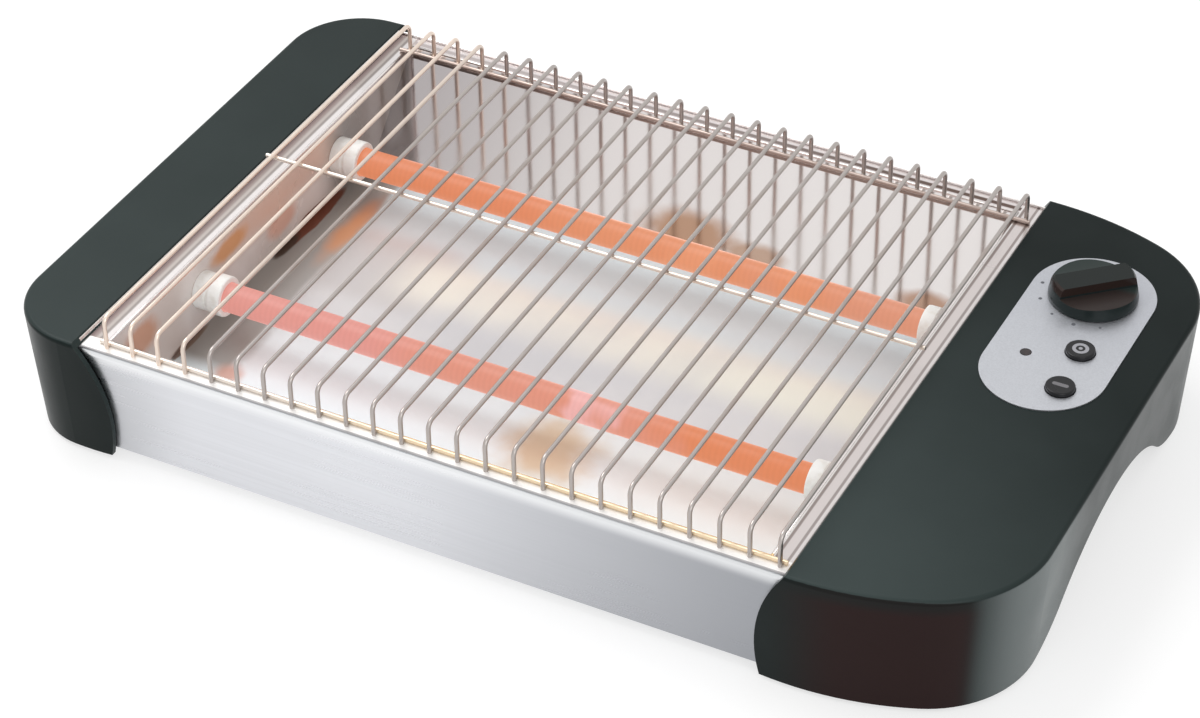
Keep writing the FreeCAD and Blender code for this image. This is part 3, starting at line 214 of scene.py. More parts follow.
def moulded_plastic(name, color, roughness, grain, depth, specular=0.5):
    """Moulded plastic: spark-eroded grain, faint cloudiness in colour and gloss."""
    s = Surface(name, color, roughness, Specular_IOR_Level=specular)
    s.set("Base Color", s.blend(s.clouds(18.0, 3.0), shaded(color, 0.82), shaded(color, 1.22)))
    s.set("Roughness", s.clouds(45.0, 4.0, roughness * 0.9, roughness * 1.12))
    s.bump(s.noise(grain, 2.0, 0.6), depth, 0.00012)
    return s


def brushed_metal(name, color, roughness, along="X", lines=900.0, depth=0.12, streak=0.05):
    """Metal brushed in one direction, with fine streaks in gloss and shade."""
    s = Surface(name, color, roughness, metallic=1.0)
    scale = [6.0 if axis == along else lines for axis in "XYZ"]
    streaks = s.noise(1.0, 3.0, 0.6, at=s.stretched(*scale))
    s.set("Base Color", s.blend(s.spread(streaks, 0.3, 0.7), shaded(color, 1 - streak),
                                shaded(color, 1 + streak)))
    s.set("Roughness", s.math("ADD", s.spread(streaks, 0.3, 0.7, roughness * 0.85, roughness * 1.15),
                              s.spread(s.noise(14.0, 3.0), 0.35, 0.65, -0.02, 0.03)))
    s.bump(streaks, depth, 0.00006)
    return s


def make_cover_plastic():
    """Dark grey-green plastic. A painted sheen makes it lighter towards the front, and its front faces
    carry painted shade. The right cover has a painted brown reflection low on its front, and a painted grey
    sheen on its outer side."""
    s = moulded_plastic("cover_plastic", srgb(40, 48, 47), 0.32, 2600.0, 0.16, specular=0.11)
    x, y, z = s.axes()
    nx, ny, nz = s.facing()
    # Painted light: a painted sheen lightens the top towards the front, and painted shade darkens the front
    # faces.
    ahead = s.times(y, -1.0)
    drift = s.math("SUBTRACT", ahead, s.times(s.math("SUBTRACT", x, 0.14), 1.2))
    forward = s.spread(ny, -0.62, -0.80)
    right_tone = s.times(s.spread(drift, -0.09, 0.10, 0.03, 0.95, smooth=False),
                         s.spread(forward, 0.0, 1.0, 1.0, 0.12))
    left_tone = s.times(s.spread(ahead, -0.10, 0.10, 0.38, 0.69, smooth=False),
                        s.spread(forward, 0.0, 1.0, 1.0, 0.22))
    is_left = s.spread(x, 0.05, -0.05)
    tone = s.math("ADD", s.times(left_tone, is_left), s.times(right_tone, s.math("SUBTRACT", 1.0, is_left)))
    tone = s.math("ADD", tone, s.clouds(18.0, 3.0, -0.05, 0.05))
    color = s.blend(tone, srgb(8, 19, 18), srgb(56, 66, 65))

    right = s.spread(x, 0.12, 0.15)
    low = s.spread(z, 0.053, 0.047, 0.3, 1.0)
    # Painted brown reflection low on the right cover's front face.
    painted_brown_reflection = s.times(forward, low, right, s.spread(y, -0.090, -0.100), 0.85)
    color = s.blend(painted_brown_reflection, color, srgb(42, 19, 18))
    # Painted grey sheen on the right cover's outer side, strongest towards the front.
    sheen = s.times(s.spread(nx, 0.65, 0.97), s.spread(nz, 0.5, 0.2),
                    s.spread(y, -0.030, -0.070, 0.25, 1.0), right, 0.8)
    s.set("Base Color", s.blend(sheen, color, srgb(131, 139, 139)))
    return s.material


def make_panel_steel(name, left, right):
    """Satin steel panel. A painted reflection makes its tone run slowly from one end to the other, and a
    painted highlight brightens its top bend.
    """
    s = brushed_metal(name, left, 0.32, "X", 700.0, 0.04, 0.03)
    x, _, z = s.axes()
    # Painted reflection: the tone runs from one end to the other.
    place = s.math("ADD", x, s.clouds(5.0, 2.0, -0.02, 0.02))
    color = s.ramp(place, s.color(), (-0.055, 0.165, right), (-0.125, -0.175, shaded(left, 0.77)))
    # Painted highlight along the top bend.
    s.set("Base Color", s.blend(s.spread(z, 0.045, 0.051, 0.0, 0.7), color, srgb(244, 245, 246)))
    return s.material


def make_chassis_steel():
    """Zinc-coated sheet with a faint crystal pattern."""
    s = Surface("chassis_steel", srgb(165, 168, 172), 0.42, metallic=1.0)
    crystal = s.add("ShaderNodeTexVoronoi", {"Vector": s.place, "Scale": 150.0}).outputs["Color"]
    shade = s.add("ShaderNodeSeparateColor", {"Color": crystal}).outputs["Red"]
    s.set("Base Color", s.blend(shade, srgb(156, 159, 163), srgb(178, 180, 184)))
    s.set("Roughness", s.spread(shade, 0.0, 1.0, 0.34, 0.52))
    s.bump(s.noise(700.0, 3.0), 0.06, 0.0001)
    return s.material


# Painted light in the bay, with some heat tint: painted reflections of the glowing tubes and caps, and
# painted shadow streaks along the left wall's fold. Columns: middle, reach along each axis, colour,
# strength, and how much of the reach is even
BAY_PAINTED_LIGHT = (
    ((-0.0140, 0.0868, 0.0205), (0.027, 0.014, 0.012), (178, 136, 106), 0.9, 0.4),
    ((0.0180, 0.0850, 0.0195), (0.018, 0.008, 0.006), (178, 140, 112), 0.8, 0.4),
    ((0.0940, 0.0843, 0.0200), (0.017, 0.008, 0.006), (172, 130, 102), 0.85, 0.4),
    ((0.0010, -0.0620, 0.0175), (0.026, 0.028, 0.006), (214, 186, 146), 0.8, 0.3),
    ((-0.1610, -0.0320, 0.0430), (0.003, 0.019, 0.0065), (224, 156, 96), 0.9, 0.4),
    ((-0.1610, 0.0080, 0.0310), (0.003, 0.015, 0.0080), (228, 178, 158), 0.85, 0.4),
    ((-0.1610, -0.0970, 0.0400), (0.003, 0.016, 0.0100), (208, 150, 118), 0.85, 0.4),
    ((-0.1603, -0.0660, 0.0175), (0.0018, 0.015, 0.0030), (122, 98, 84), 0.9, 0.7),
    ((-0.1390, -0.0560, 0.0175), (0.0075, 0.032, 0.0040), (160, 160, 156), 0.55, 0.3),
    ((-0.1360, -0.0770, 0.0175), (0.0080, 0.010, 0.0040), (214, 160, 140), 0.8, 0.3),
    ((-0.1425, 0.0300, 0.0175), (0.0075, 0.034, 0.004), (226, 156, 106), 0.85, 0.2),
    ((-0.1600, 0.0280, 0.0175), (0.0036, 0.030, 0.0048), (112, 58, 38), 0.97, 0.75),
    ((-0.1600, 0.0080, 0.0175), (0.0030, 0.012, 0.0040), (66, 48, 36), 0.9, 0.6),
)


def bay_color(s, cloud, back):
    """The bay's floor, front and back: a warm white band between the tubes, partly heat tint and partly the
    tubes' painted glow, and cooler white around it.
    """
    x, y, z = s.axes()
    color = s.blend(s.spread(cloud, 0.3, 0.7), srgb(208, 208, 211), srgb(220, 219, 220))
    cool = s.times(s.spread(y, 0.018, 0.030), s.spread(y, 0.075, 0.060))
    color = s.blend(cool, color, srgb(215, 230, 236))
    off_band = s.math("ABSOLUTE", s.math("SUBTRACT", y, 0.012))
    left_of_band = s.times(s.spread(x, -0.075, -0.100), s.spread(off_band, 0.030, 0.016))
    color = s.blend(left_of_band, color, srgb(207, 204, 204))
    # Heat tint and painted glow of the tubes, between them.
    band = s.times(s.spread(off_band, 0.003, 0.024, 1.0, 0.0), s.spread(z, 0.022, 0.019),
                   s.spread(cloud, 0.3, 0.6, 0.65, 1.0), s.spread(x, -0.122, -0.092))
    color = s.blend(band, color, s.ramp(x, srgb(238, 234, 224), (-0.02, 0.06, srgb(238, 237, 226))))
    ahead = s.ramp(x, srgb(237, 249, 253), (-0.04, 0.05, srgb(243, 253, 254)))
    color = s.ramp(y, color, (-0.030, -0.055, ahead))
    wall = s.ramp(x, srgb(178, 172, 172),
                  (-0.16, -0.03, srgb(226, 220, 218)), (-0.03, 0.06, srgb(230, 225, 223)))
    return s.blend(back, color, wall)


def bay_end_color(s):
    """The bay's dull end walls: a painted warm glow of the tubes high up, dark at the back, paler under the
    flange.
    """
    _, y, z = s.axes()
    color = s.blend(s.spread(s.noise(30.0, 3.0), 0.35, 0.65), srgb(222, 210, 204), srgb(238, 228, 224))
    color = s.blend(s.spread(y, -0.062, -0.078, 0.0, 0.85), color, srgb(214, 200, 192))
    # Painted warm glow of the tubes, high up on the end walls.
    warm = s.times(s.spread(z, 0.030, 0.042), s.spread(y, -0.052, -0.020), 0.9)
    color = s.blend(warm, color, srgb(226, 190, 172))
    color = s.ramp(y, color, (0.036, 0.060, srgb(140, 130, 124)))
    return s.ramp(z, color, (0.048, 0.0525, srgb(214, 202, 198)))


def flange_color(s):
    """The tray's flange: bright, with painted shade in a brown groove at the back, and painted lines of
    shadow and reflection along the covers.
    """
    x, y, _ = s.axes()
    color = s.ramp(y, srgb(255, 253, 251), (-0.116, 0.110, srgb(224, 216, 215)))
    # Painted shade: a brown shadow line in the groove at the back.
    groove = s.times(s.spread(y, 0.1180, 0.1188), s.spread(y, 0.1210, 0.1202),
                     s.spread(x, -0.14, 0.10, 0.35, 0.95))
    color = s.blend(groove, color, srgb(92, 70, 60))
    color = s.ramp(y, color, (-0.1228, -0.1234, srgb(176, 174, 176)))
    behind_edge = s.spread(y, -0.1172, -0.1165)
    # Painted shadows and reflections of the wire and the cover's edge, in lines along the left cover.
    left_painted_lines = s.ramp(
        x, srgb(136, 118, 116),
        (-0.1684, -0.1674, srgb(152, 137, 133)), (-0.1674, -0.1660, srgb(184, 175, 170)),
        (-0.1656, -0.1648, srgb(150, 142, 138)), (-0.1644, -0.1634, srgb(222, 217, 216)),
        (-0.1618, -0.1612, srgb(196, 184, 181)))
    color = s.blend(s.times(s.spread(x, -0.1603, -0.1607), behind_edge), color, left_painted_lines)
    # Painted shadow and reflection lines along the right cover.
    right_painted_lines = s.ramp(
        x, srgb(232, 228, 226),
        (0.1198, 0.1204, srgb(146, 134, 130)), (0.1210, 0.1216, srgb(212, 204, 202)),
        (0.1246, 0.1250, srgb(158, 148, 145)), (0.1256, 0.1262, srgb(222, 216, 215)))
    return s.blend(s.times(s.spread(x, 0.1192, 0.1196), behind_edge), color, right_painted_lines)


def make_reflector():
    """Reflector sheet: mirror-bright back, hazier floor and front, dull ends, and painted reflections and
    shadows by the tubes.
    """
    s = Surface("reflector", srgb(214, 213, 215), 0.3, metallic=0.7)
    x, y, z = s.axes()
    cloud = s.noise(22.0, 4.0)
    back = s.spread(y, 0.070, 0.086)
    flange = s.spread(z, 0.0518, 0.0524)
    end = s.spread(s.math("ABSOLUTE", s.facing()[0]), 0.6, 0.8)
    uneven_x = s.math("ADD", x, s.spread(cloud, 0.3, 0.7, -0.001, 0.001))
    strip = s.times(s.spread(uneven_x, -0.1375, -0.1405), s.spread(z, 0.0185, 0.0178),
                    s.spread(y, -0.080, -0.070))

    rough = s.math("MAXIMUM", s.spread(back, 0.0, 1.0, 0.42, 0.08), s.spread(flange, 0.0, 1.0, 0.0, 0.22))
    rough = s.times(rough, s.spread(end, 0.0, 1.0, 1.0, 0.6))
    s.set("Roughness", s.math("ADD", rough, s.spread(cloud, 0.35, 0.7, -0.01, 0.04)))
    s.set("Metallic", s.spread(s.math("MAXIMUM", end, strip), 0.0, 1.0,
                               s.spread(back, 0.0, 1.0, 0.32, 0.96), 0.12))

    color = bay_color(s, cloud, back)
    # Painted shade on the floor's strip along the left wall, darker towards the wall.
    color = s.blend(strip, color, s.ramp(x, srgb(176, 174, 171), (-0.140, -0.160, srgb(148, 144, 139))))
    color = s.blend(s.times(end, 0.95), color, bay_end_color(s))
    # Painted reflections and shadows from the table above.
    for center, size, tone, strength, core in BAY_PAINTED_LIGHT:
        color = s.blend(s.times(s.spot(center, size, core), strength), color, srgb(*tone))
    s.set("Base Color", s.blend(flange, color, flange_color(s)))
    s.bump(s.noise(16.0, 2.0), 0.10, 0.0012)
    s.bump(s.noise(1.0, 3.0, 0.6, at=s.stretched(5.0, 800.0, 800.0)), 0.03, 0.00005)
    return s.material


def make_rack_wire(name, fresh, heat_brown_and_glow, pale):
    """Bright-drawn wire, a little brown over the tubes, partly from heat and partly the tubes' painted
    glow, and with painted light that makes it paler over the bay's left end.
    """
    s = Surface(name, fresh, 0.20, metallic=1.0)
    x, y, _ = s.axes()
    # Over the tubes: heat browning and painted glow of the tubes.
    heat = s.spread(s.noise(40.0, 4.0), 0.35, 0.75)
    over_tubes = s.spread(s.math("ABSOLUTE", y), 0.105, 0.06)
    color = s.blend(s.times(heat, over_tubes, 0.55), fresh, heat_brown_and_glow)
    # Painted light: paler over the bay's left end.
    s.set("Base Color", s.ramp(x, color, (-0.110, -0.130, pale)))
    s.set("Roughness", s.clouds(120.0, 3.0, 0.28, 0.40))
    s.bump(s.noise(1500.0, 2.0), 0.05, 0.00005)
    return s


def make_rod_wire():
    """The rods' wire: darker at the back rod, and a painted warm reflection of the glowing tubes along the
    right of the front one.
    """
    s = make_rack_wire("rod_wire", srgb(232, 222, 212), srgb(212, 194, 178), srgb(236, 226, 216))
    x, y, _ = s.axes()
    color = s.ramp(y, s.color(), (0.080, 0.090, srgb(176, 160, 152)))
    # Painted reflection of the glowing tubes along the right of the front rod.
    painted_tube_reflection = s.times(s.spread(y, -0.080, -0.090), s.spread(x, -0.10, -0.02))
    s.set("Base Color", s.blend(painted_tube_reflection, color, srgb(236, 214, 182)))
    return s.material


def make_plate_metal():
    """Bead-blasted, clear-coated plate, with painted light that makes it lighter towards the front."""
    s = Surface("plate_metal", srgb(196, 198, 203), 0.40, metallic=0.85, Coat_Weight=0.15,
                Coat_Roughness=0.3)
    grain = s.noise(1900.0, 3.0, 0.7)
    # Painted light: lighter towards the front.
    painted_light_front = s.spread(s.axes()[1], 0.080, 0.020)
    dark = s.blend(painted_light_front, srgb(176, 178, 184), srgb(181, 183, 188))
    light = s.blend(painted_light_front, srgb(188, 190, 196), srgb(194, 196, 201))
    s.set("Base Color", s.blend(s.spread(grain, 0.3, 0.7), dark, light))
    s.set("Roughness", s.spread(grain, 0.3, 0.7, 0.34, 0.50))
    s.bump(grain, 0.14, 0.00008)
    return s.material


def make_knob_plastic():
    """Glossy grey-black, with painted shade on top of the grip, painted brown reflections on its front and
    in the hollow ahead of it, and a painted grey reflection in the hollow behind it.
    """
    s = moulded_plastic("knob_plastic", srgb(32, 40, 40), 0.22, 1800.0, 0.03, specular=0.2)
    x, y, z = s.axes()
    _, ny, nz = s.facing()
    # Painted shade on top of the grip.
    color = s.ramp(z, s.color(), (0.0640, 0.0646, srgb(14, 22, 20)))
    # Painted reflections in the hollow: grey behind the grip, brown ahead of it.
    hollow = s.times(s.spread(z, 0.0625, 0.0612), s.spread(nz, 0.75, 0.92))
    ahead = s.spread(s.math("SUBTRACT", y, s.times(x, 0.1)), 0.060, 0.056)
    color = s.blend(hollow, color, s.blend(ahead, srgb(46, 55, 53), srgb(52, 45, 43)))
    # Painted brown reflection on the grip's front.
    front = s.times(s.spread(z, 0.0616, 0.0620), s.spread(ny, -0.35, -0.55))
    s.set("Base Color", s.blend(front, color, srgb(48, 37, 34)))
    return s.material


def make_ceramic():
    """Unglazed white steatite, faintly pitted."""
    s = Surface("ceramic", srgb(236, 233, 226), 0.42, Specular_IOR_Level=0.45)
    pits = s.spread(s.noise(300.0, 4.0), 0.45, 0.75)
    s.set("Base Color", s.blend(pits, srgb(250, 249, 246), srgb(240, 237, 231)))
    s.bump(s.noise(900.0, 3.0), 0.08, 0.0001)
    return s.material


def make_quartz(name, left, middle, right, pale):
    """Milky quartz lit from inside. Its colour shifts along the tube, and one paler patch is a painted
    highlight.
    """
    s = Surface(name, srgb(240, 150, 110), 0.35, Specular_IOR_Level=0.3, Alpha=0.9)
    x = s.axes()[0]
    along = s.math("ADD", x, s.clouds(26.0, 3.0, -0.02, 0.02))
    color = s.ramp(along, left, (-0.10, -0.01, middle), (0.035, 0.075, right))
    # Painted highlight: a paler patch past the middle.
    patch = s.times(s.spread(along, 0.004, 0.016), s.spread(along, 0.038, 0.026))
    color = s.blend(patch, color, pale)
    turns = s.math("SINE", s.times(x, math.tau / WINDING_PITCH))
    s.set("Base Color", s.blend(0.85, color, srgb(60, 38, 32)))
    s.set("Emission Color", color)
    s.set("Emission Strength", s.times(s.spread(turns, -1.0, 1.0, 0.965, 1.0), 0.95))
    s.bump(s.noise(60.0, 2.0), 0.05, 0.0003)
    return s.material


def make_winding():
    """Resistance wire at red heat."""
    s = Surface("winding", srgb(200, 70, 30), 0.5, metallic=0.4, Emission_Strength=1.6)
    s.set("Emission Color", s.blend(s.clouds(140.0, 3.0), srgb(255, 96, 36), srgb(255, 150, 70)))
    s.bump(s.noise(900.0), 0.1, 0.0001)
    return s.material


def make_hem():
    """Bright rolled edge, with a painted warm reflection of the glowing tubes along the front."""
    s = brushed_metal("hem", srgb(236, 231, 229), 0.2, "X", 500.0, 0.04, 0.02)
    x, y, _ = s.axes()
    # Painted reflection of the glowing tubes along the front.
    painted_tube_reflection = s.times(s.spread(x, -0.10, -0.02), s.spread(y, -0.1155, -0.1160),
                   s.spread(s.noise(35.0, 3.0), 0.3, 0.6, 0.5, 1.0))
    s.set("Base Color", s.blend(painted_tube_reflection, s.color(), srgb(232, 196, 140)))
    return s.material


def make_rubber(name, color):
    """Dull, finely grained rubber."""
    s = Surface(name, color, 0.75, Specular_IOR_Level=0.3)
    s.set("Roughness", s.clouds(200.0, 4.0, 0.65, 0.85))
    s.bump(s.noise(1200.0, 3.0), 0.25, 0.0001)
    return s.material


def make_board():
    """Solder-masked board with faint tracks."""
    s = Surface("board", srgb(38, 84, 52), 0.35)
    tracks = s.add("ShaderNodeTexBrick", {
        "Vector": s.place, "Scale": 120.0, "Mortar Size": 0.06,
        "Color1": srgb(34, 78, 48), "Color2": srgb(46, 96, 60), "Mortar": srgb(70, 120, 78)})
    s.set("Base Color", tracks.outputs["Color"])
    s.bump(tracks.outputs["Fac"], 0.2, 0.0001)
    return s.material


def make_lens():
    """Smoked indicator lens."""
    s = Surface("lens", srgb(44, 34, 36), 0.12, Transmission_Weight=0.35, IOR=1.49)
    s.set("Base Color", s.blend(s.clouds(600.0), srgb(40, 32, 34), srgb(58, 44, 44)))
    s.bump(s.noise(900.0), 0.04, 0.0001)
    return s.material


def make_print(name, color):
    """Printed marks, slightly uneven in tone."""
    s = Surface(name, color, 0.5)
    s.set("Base Color", s.blend(s.clouds(2500.0, 3.0), shaded(color, 0.85), color))
    s.bump(s.noise(2500.0), 0.1, 0.00005)
    return s.material


# Inner plastics and the buttons: colour, roughness, scale and depth of the grain, specular level
PLASTICS = {
    "button_plastic": ((20, 20, 23), 0.28, 1800.0, 0.06, 0.3),
    "switch_plastic": ((205, 200, 186), 0.42, 1500.0, 0.10, 0.5),
    "lamp_glass": ((210, 90, 60), 0.1, 900.0, 0.03, 0.5),
    "relay_plastic": ((30, 62, 128), 0.35, 1600.0, 0.10, 0.5),
    "capacitor": ((196, 150, 46), 0.3, 1200.0, 0.08, 0.5),
    "terminal_plastic": ((226, 222, 208), 0.4, 1500.0, 0.10, 0.5),
    "inner_plastic": ((42, 44, 46), 0.5, 1400.0, 0.2, 0.4),
    "lead_sleeve": ((214, 206, 188), 0.6, 1800.0, 0.3, 0.3),
}

# Finishes by the name of a node's CAD material
FINISH = {name: moulded_plastic(name, srgb(*color), *grain).material
          for name, (color, *grain) in PLASTICS.items()}
FINISH.update({
    "cover_plastic": make_cover_plastic(),
    "panel_steel": make_panel_steel("panel_steel", srgb(212, 213, 217), srgb(196, 198, 202)),
    "chassis_steel": make_chassis_steel(),
    "reflector": make_reflector(),
    "rack_wire": make_rack_wire("rack_wire", srgb(178, 171, 167), srgb(160, 145, 136),
                                srgb(230, 214, 201)).material,
    "plate_metal": make_plate_metal(),
    "knob_plastic": make_knob_plastic(),
    "lens": make_lens(),
    "board": make_board(),
    "cutout_metal": brushed_metal("cutout_metal", srgb(190, 186, 178), 0.3, "X", 500.0).material,
    "inlet_rubber": make_rubber("inlet_rubber", srgb(24, 25, 26)),
    "foot_rubber": make_rubber("foot_rubber", srgb(38, 39, 41)),
    "screw_steel": brushed_metal("screw_steel", srgb(176, 176, 178), 0.28, "Z", 900.0).material,
    "winding": make_winding(),
    "ceramic": make_ceramic(),
    "hem": make_hem(),
})

# Finishes of single nodes, in place of the one that goes with their CAD material
OWN_FINISH = {
    "front_quartz_tube": make_quartz("quartz_front", srgb(214, 144, 135), srgb(212, 140, 119),
                                     srgb(212, 128, 87), srgb(226, 170, 166)),
    "rear_quartz_tube": make_quartz("quartz_rear", srgb(214, 131, 93), srgb(215, 139, 101),
                                    srgb(209, 141, 113), srgb(219, 144, 106)),
    "front_panel": make_panel_steel("front_panel_steel", srgb(219, 220, 224), srgb(156, 158, 163)),
    "rack_rods": make_rod_wire(),
}

for name, node in NODES.items():
    for slot in node.material_slots:
        slot.material = OWN_FINISH.get(name) or FINISH[slot.material.name.split(".")[0]]


# Pieces

def mesh_piece(name, shape, body, finish, smooth=True):
    """A piece from its vertices and faces, riding on a body."""
    vertices, faces = shape
    mesh = bpy.data.meshes.new(name)
    mesh.from_pydata([tuple(v) for v in vertices], [], faces)
    mesh.materials.append(finish)
    mesh.update()
    if smooth:
        mesh.polygons.foreach_set("use_smooth", [True] * len(mesh.polygons))
    piece = bpy.data.objects.new(name, mesh)
    bpy.context.scene.collection.objects.link(piece)
    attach(piece, body)
    return piece


def joined(shapes):
    """One shape from several."""
    vertices, faces = [], []
    for some_vertices, some_faces in shapes:
        shift = len(vertices)
        vertices.extend(some_vertices)
        faces.extend(tuple(index + shift for index in face) for face in some_faces)
    return vertices, faces


def around(count):
    """The angles of points spaced evenly round a circle."""
    return [math.tau * index / count for index in range(count)]


def evenly(start, finish, steps):
    """Points from one place to another, both included."""
    return [start.lerp(finish, step / steps) for step in range(steps + 1)]


def skin(rings, closed=False, flip=False):
    """The surface through rings with as many points each. It closes on itself, or has a face at both ends.
    It is flipped where its faces would otherwise look inwards."""
    count = len(rings[0])
    vertices = [point for ring in rings for point in ring]
    faces = []
    for index in range(len(rings) if closed else len(rings) - 1):
        here, there = index * count, (index + 1) % len(rings) * count
        for point in range(count):
            beside = (point + 1) % count
            faces.append((here + point, here + beside, there + beside, there + point))
    if not closed:
        faces.append(tuple(range(count - 1, -1, -1)))
        faces.append(tuple(range(len(vertices) - count, len(vertices))))
    if flip:
        faces = [face[:1] + face[:0:-1] for face in faces]  # the same corners, the other way round
    return vertices, faces


def bar(path, radius, sides):
    """A round bar along a path of points."""
    rings = []
    across = Vector((0, 0, 1))
    for index, point in enumerate(path):
        before, after = path[max(index - 1, 0)], path[min(index + 1, len(path) - 1)]
        along = (after - before).normalized()
        across = (across - along * across.dot(along)).normalized()
        other = along.cross(across)
        rings.append([point + across * (radius * math.cos(angle)) + other * (radius * math.sin(angle))
                      for angle in around(sides)])
    return skin(rings)


def printed_patch(center, outline):
    """A flat mark with an outline about its centre, half sunk into the face it is printed on."""
    return skin([[center + Vector((x, y, level)) for x, y in outline] for level in (-PRINT, PRINT)])


def printed_ring(center, inner, outer):
    """A flat ring, as thick as a patch."""
    section = ((inner, -PRINT), (inner, PRINT), (outer, PRINT), (outer, -PRINT))
    return skin([[center + Vector((radius * math.cos(angle), radius * math.sin(angle), height))
                  for radius, height in section] for angle in around(40)], closed=True)


def top_center(node):
    low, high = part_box(node)
    return Vector(((low.x + high.x) / 2, (low.y + high.y) / 2, high.z))


def along_x(node):
    """Where a round node starts and ends along X, and its axis in Y and Z."""
    low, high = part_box(node)
    return low.x, high.x, (low.y + high.y) / 2, (low.z + high.z) / 2


def add_windings():
    """Each tube's winding as a true helix with straight ends, inside the space of its solid."""
    for side in ("front", "rear"):
        coil_start, coil_end, y, z = along_x(f"{side}_heating_coil")
        tube_start, tube_end, _, _ = along_x(f"{side}_quartz_tube")
        start, finish = tube_start + WINDING_START, tube_end - WINDING_START
        steps = round((finish - start) / WINDING_PITCH) * TURN_POINTS
        path = [Vector((coil_start, y, z)), Vector((start - WINDING_TAIL, y, z))]
        for step in range(steps + 1):
            angle = math.tau * step / TURN_POINTS
            radius = WINDING_RADIUS * min(1.0, step / TURN_POINTS, (steps - step) / TURN_POINTS)
            path.append(Vector((start + (finish - start) * step / steps,
                                y + radius * math.cos(angle), z + radius * math.sin(angle))))
        path += [Vector((finish + WINDING_TAIL, y, z)), Vector((coil_end, y, z))]
        piece = mesh_piece(f"{side}_winding_helix", bar(path, WINDING_WIRE, sides=6), "toaster",
                           FINISH["winding"])
        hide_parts(f"{side}_heating_coil")


def weld_bead(center, turn):
    """An oval bead with small flat ends."""
    rings = []
    for share in (-1.0, -0.5, 0.0, 0.5, 1.0):
        radius = BEAD_RADIUS * math.sqrt(1 - share * share) + BEAD_TIP
        rings.append([
            center + turn @ Vector((radius * BEAD_SPREAD * math.cos(angle), radius * math.sin(angle),
                                    share * BEAD_REACH)) for angle in around(10)])
    return skin(rings)


def add_weld_beads():
    """Small weld beads where the cross wires meet the rods."""
    low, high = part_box("cross_wires")
    rod_low, rod_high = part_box("rack_rods")
    pitch = (high.x - low.x - RACK_WIRE) / (WIRES - 1)
    foot = rod_low.z + RACK_WIRE / 2
    upright, lying = Matrix.Identity(3), Matrix.Rotation(math.radians(90.0), 3, "X")
    places = ((rod_low.y, foot, upright), (MIDDLE_ROD, rod_high.z, lying), (rod_high.y, foot, upright))
    beads = [weld_bead(Vector((low.x + RACK_WIRE / 2 + pitch * index, y, z)), turn)
             for index in range(WIRES) for y, z, turn in places]
    mesh_piece("weld_beads", joined(beads), "toaster", FINISH["rack_wire"])


def add_button_marks():
    """The ring with its dot, and the bar."""
    center = top_center("ring_button")
    mesh_piece("ring_mark", joined([printed_ring(center, *radii) for radii in RING_MARK]), "ring_push",
               make_print("ring_print", srgb(158, 158, 164)), smooth=False)
    outline = [(math.copysign(BAR_MARK_REACH, math.cos(angle)) + BAR_MARK_RADIUS * math.cos(angle),
                BAR_MARK_RADIUS * math.sin(angle)) for angle in around(24)]
    mesh_piece("bar_mark", printed_patch(top_center("bar_button"), outline), "bar_push",
               make_print("bar_print", srgb(112, 110, 114)), smooth=False)


def add_dial_marks():
    """Printed dots round the dial, from its off place to its highest setting."""
    plate_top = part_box("control_plate")[1].z
    dots = []
    for degrees, size in DIAL_DOTS:
        place, radius = math.radians(degrees), size * MM
        center = Vector((DIAL_CENTER[0] + DIAL_DOTS_REACH * math.cos(place),
                         DIAL_CENTER[1] + DIAL_DOTS_REACH * math.sin(place), plate_top))
        outline = [(radius * math.cos(angle), radius * math.sin(angle)) for angle in around(16)]
        dots.append(printed_patch(center, outline))
    mesh_piece("dial_marks", joined(dots), "toaster", make_print("dial_print", srgb(96, 98, 104)),
               smooth=False)


def add_cap_sleeves():
    """The thicker outer ends of the ceramic caps: a sleeve at the wall, a shallow groove and a collar."""
    sleeves = []
    for side in ("front", "rear"):
        _, _, y, z = along_x(f"{side}_quartz_tube")
        for wall, inwards in SLEEVE_WALLS:
            rings = [[Vector((wall + inwards * along * MM, y + radius * MM * math.cos(angle),
                              z + radius * MM * math.sin(angle))) for radius, along in SLEEVE_SECTION]
                     for angle in around(48)]
            sleeves.append(skin(rings, closed=True, flip=inwards > 0))
    mesh_piece("cap_sleeves", joined(sleeves), "toaster", FINISH["ceramic"], smooth=False)


def add_hem():
    """The rolled edge of the bay's mouth, a thin bright bead along its four sides."""
    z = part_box("reflector_tray")[1].z - HEM_SINK
    corners = [Vector((x, y, z)) for x, y in (
        (MOUTH_LEFT, -MOUTH_DEPTH), (MOUTH_RIGHT, -MOUTH_DEPTH), (MOUTH_RIGHT, MOUTH_DEPTH),
        (MOUTH_LEFT, MOUTH_DEPTH))]
    sides = [bar(evenly(corner, following, steps=8), HEM_RADIUS, sides=12)
             for corner, following in zip(corners, corners[1:] + corners[:1])]
    mesh_piece("mouth_hem", joined(sides), "toaster", FINISH["hem"])


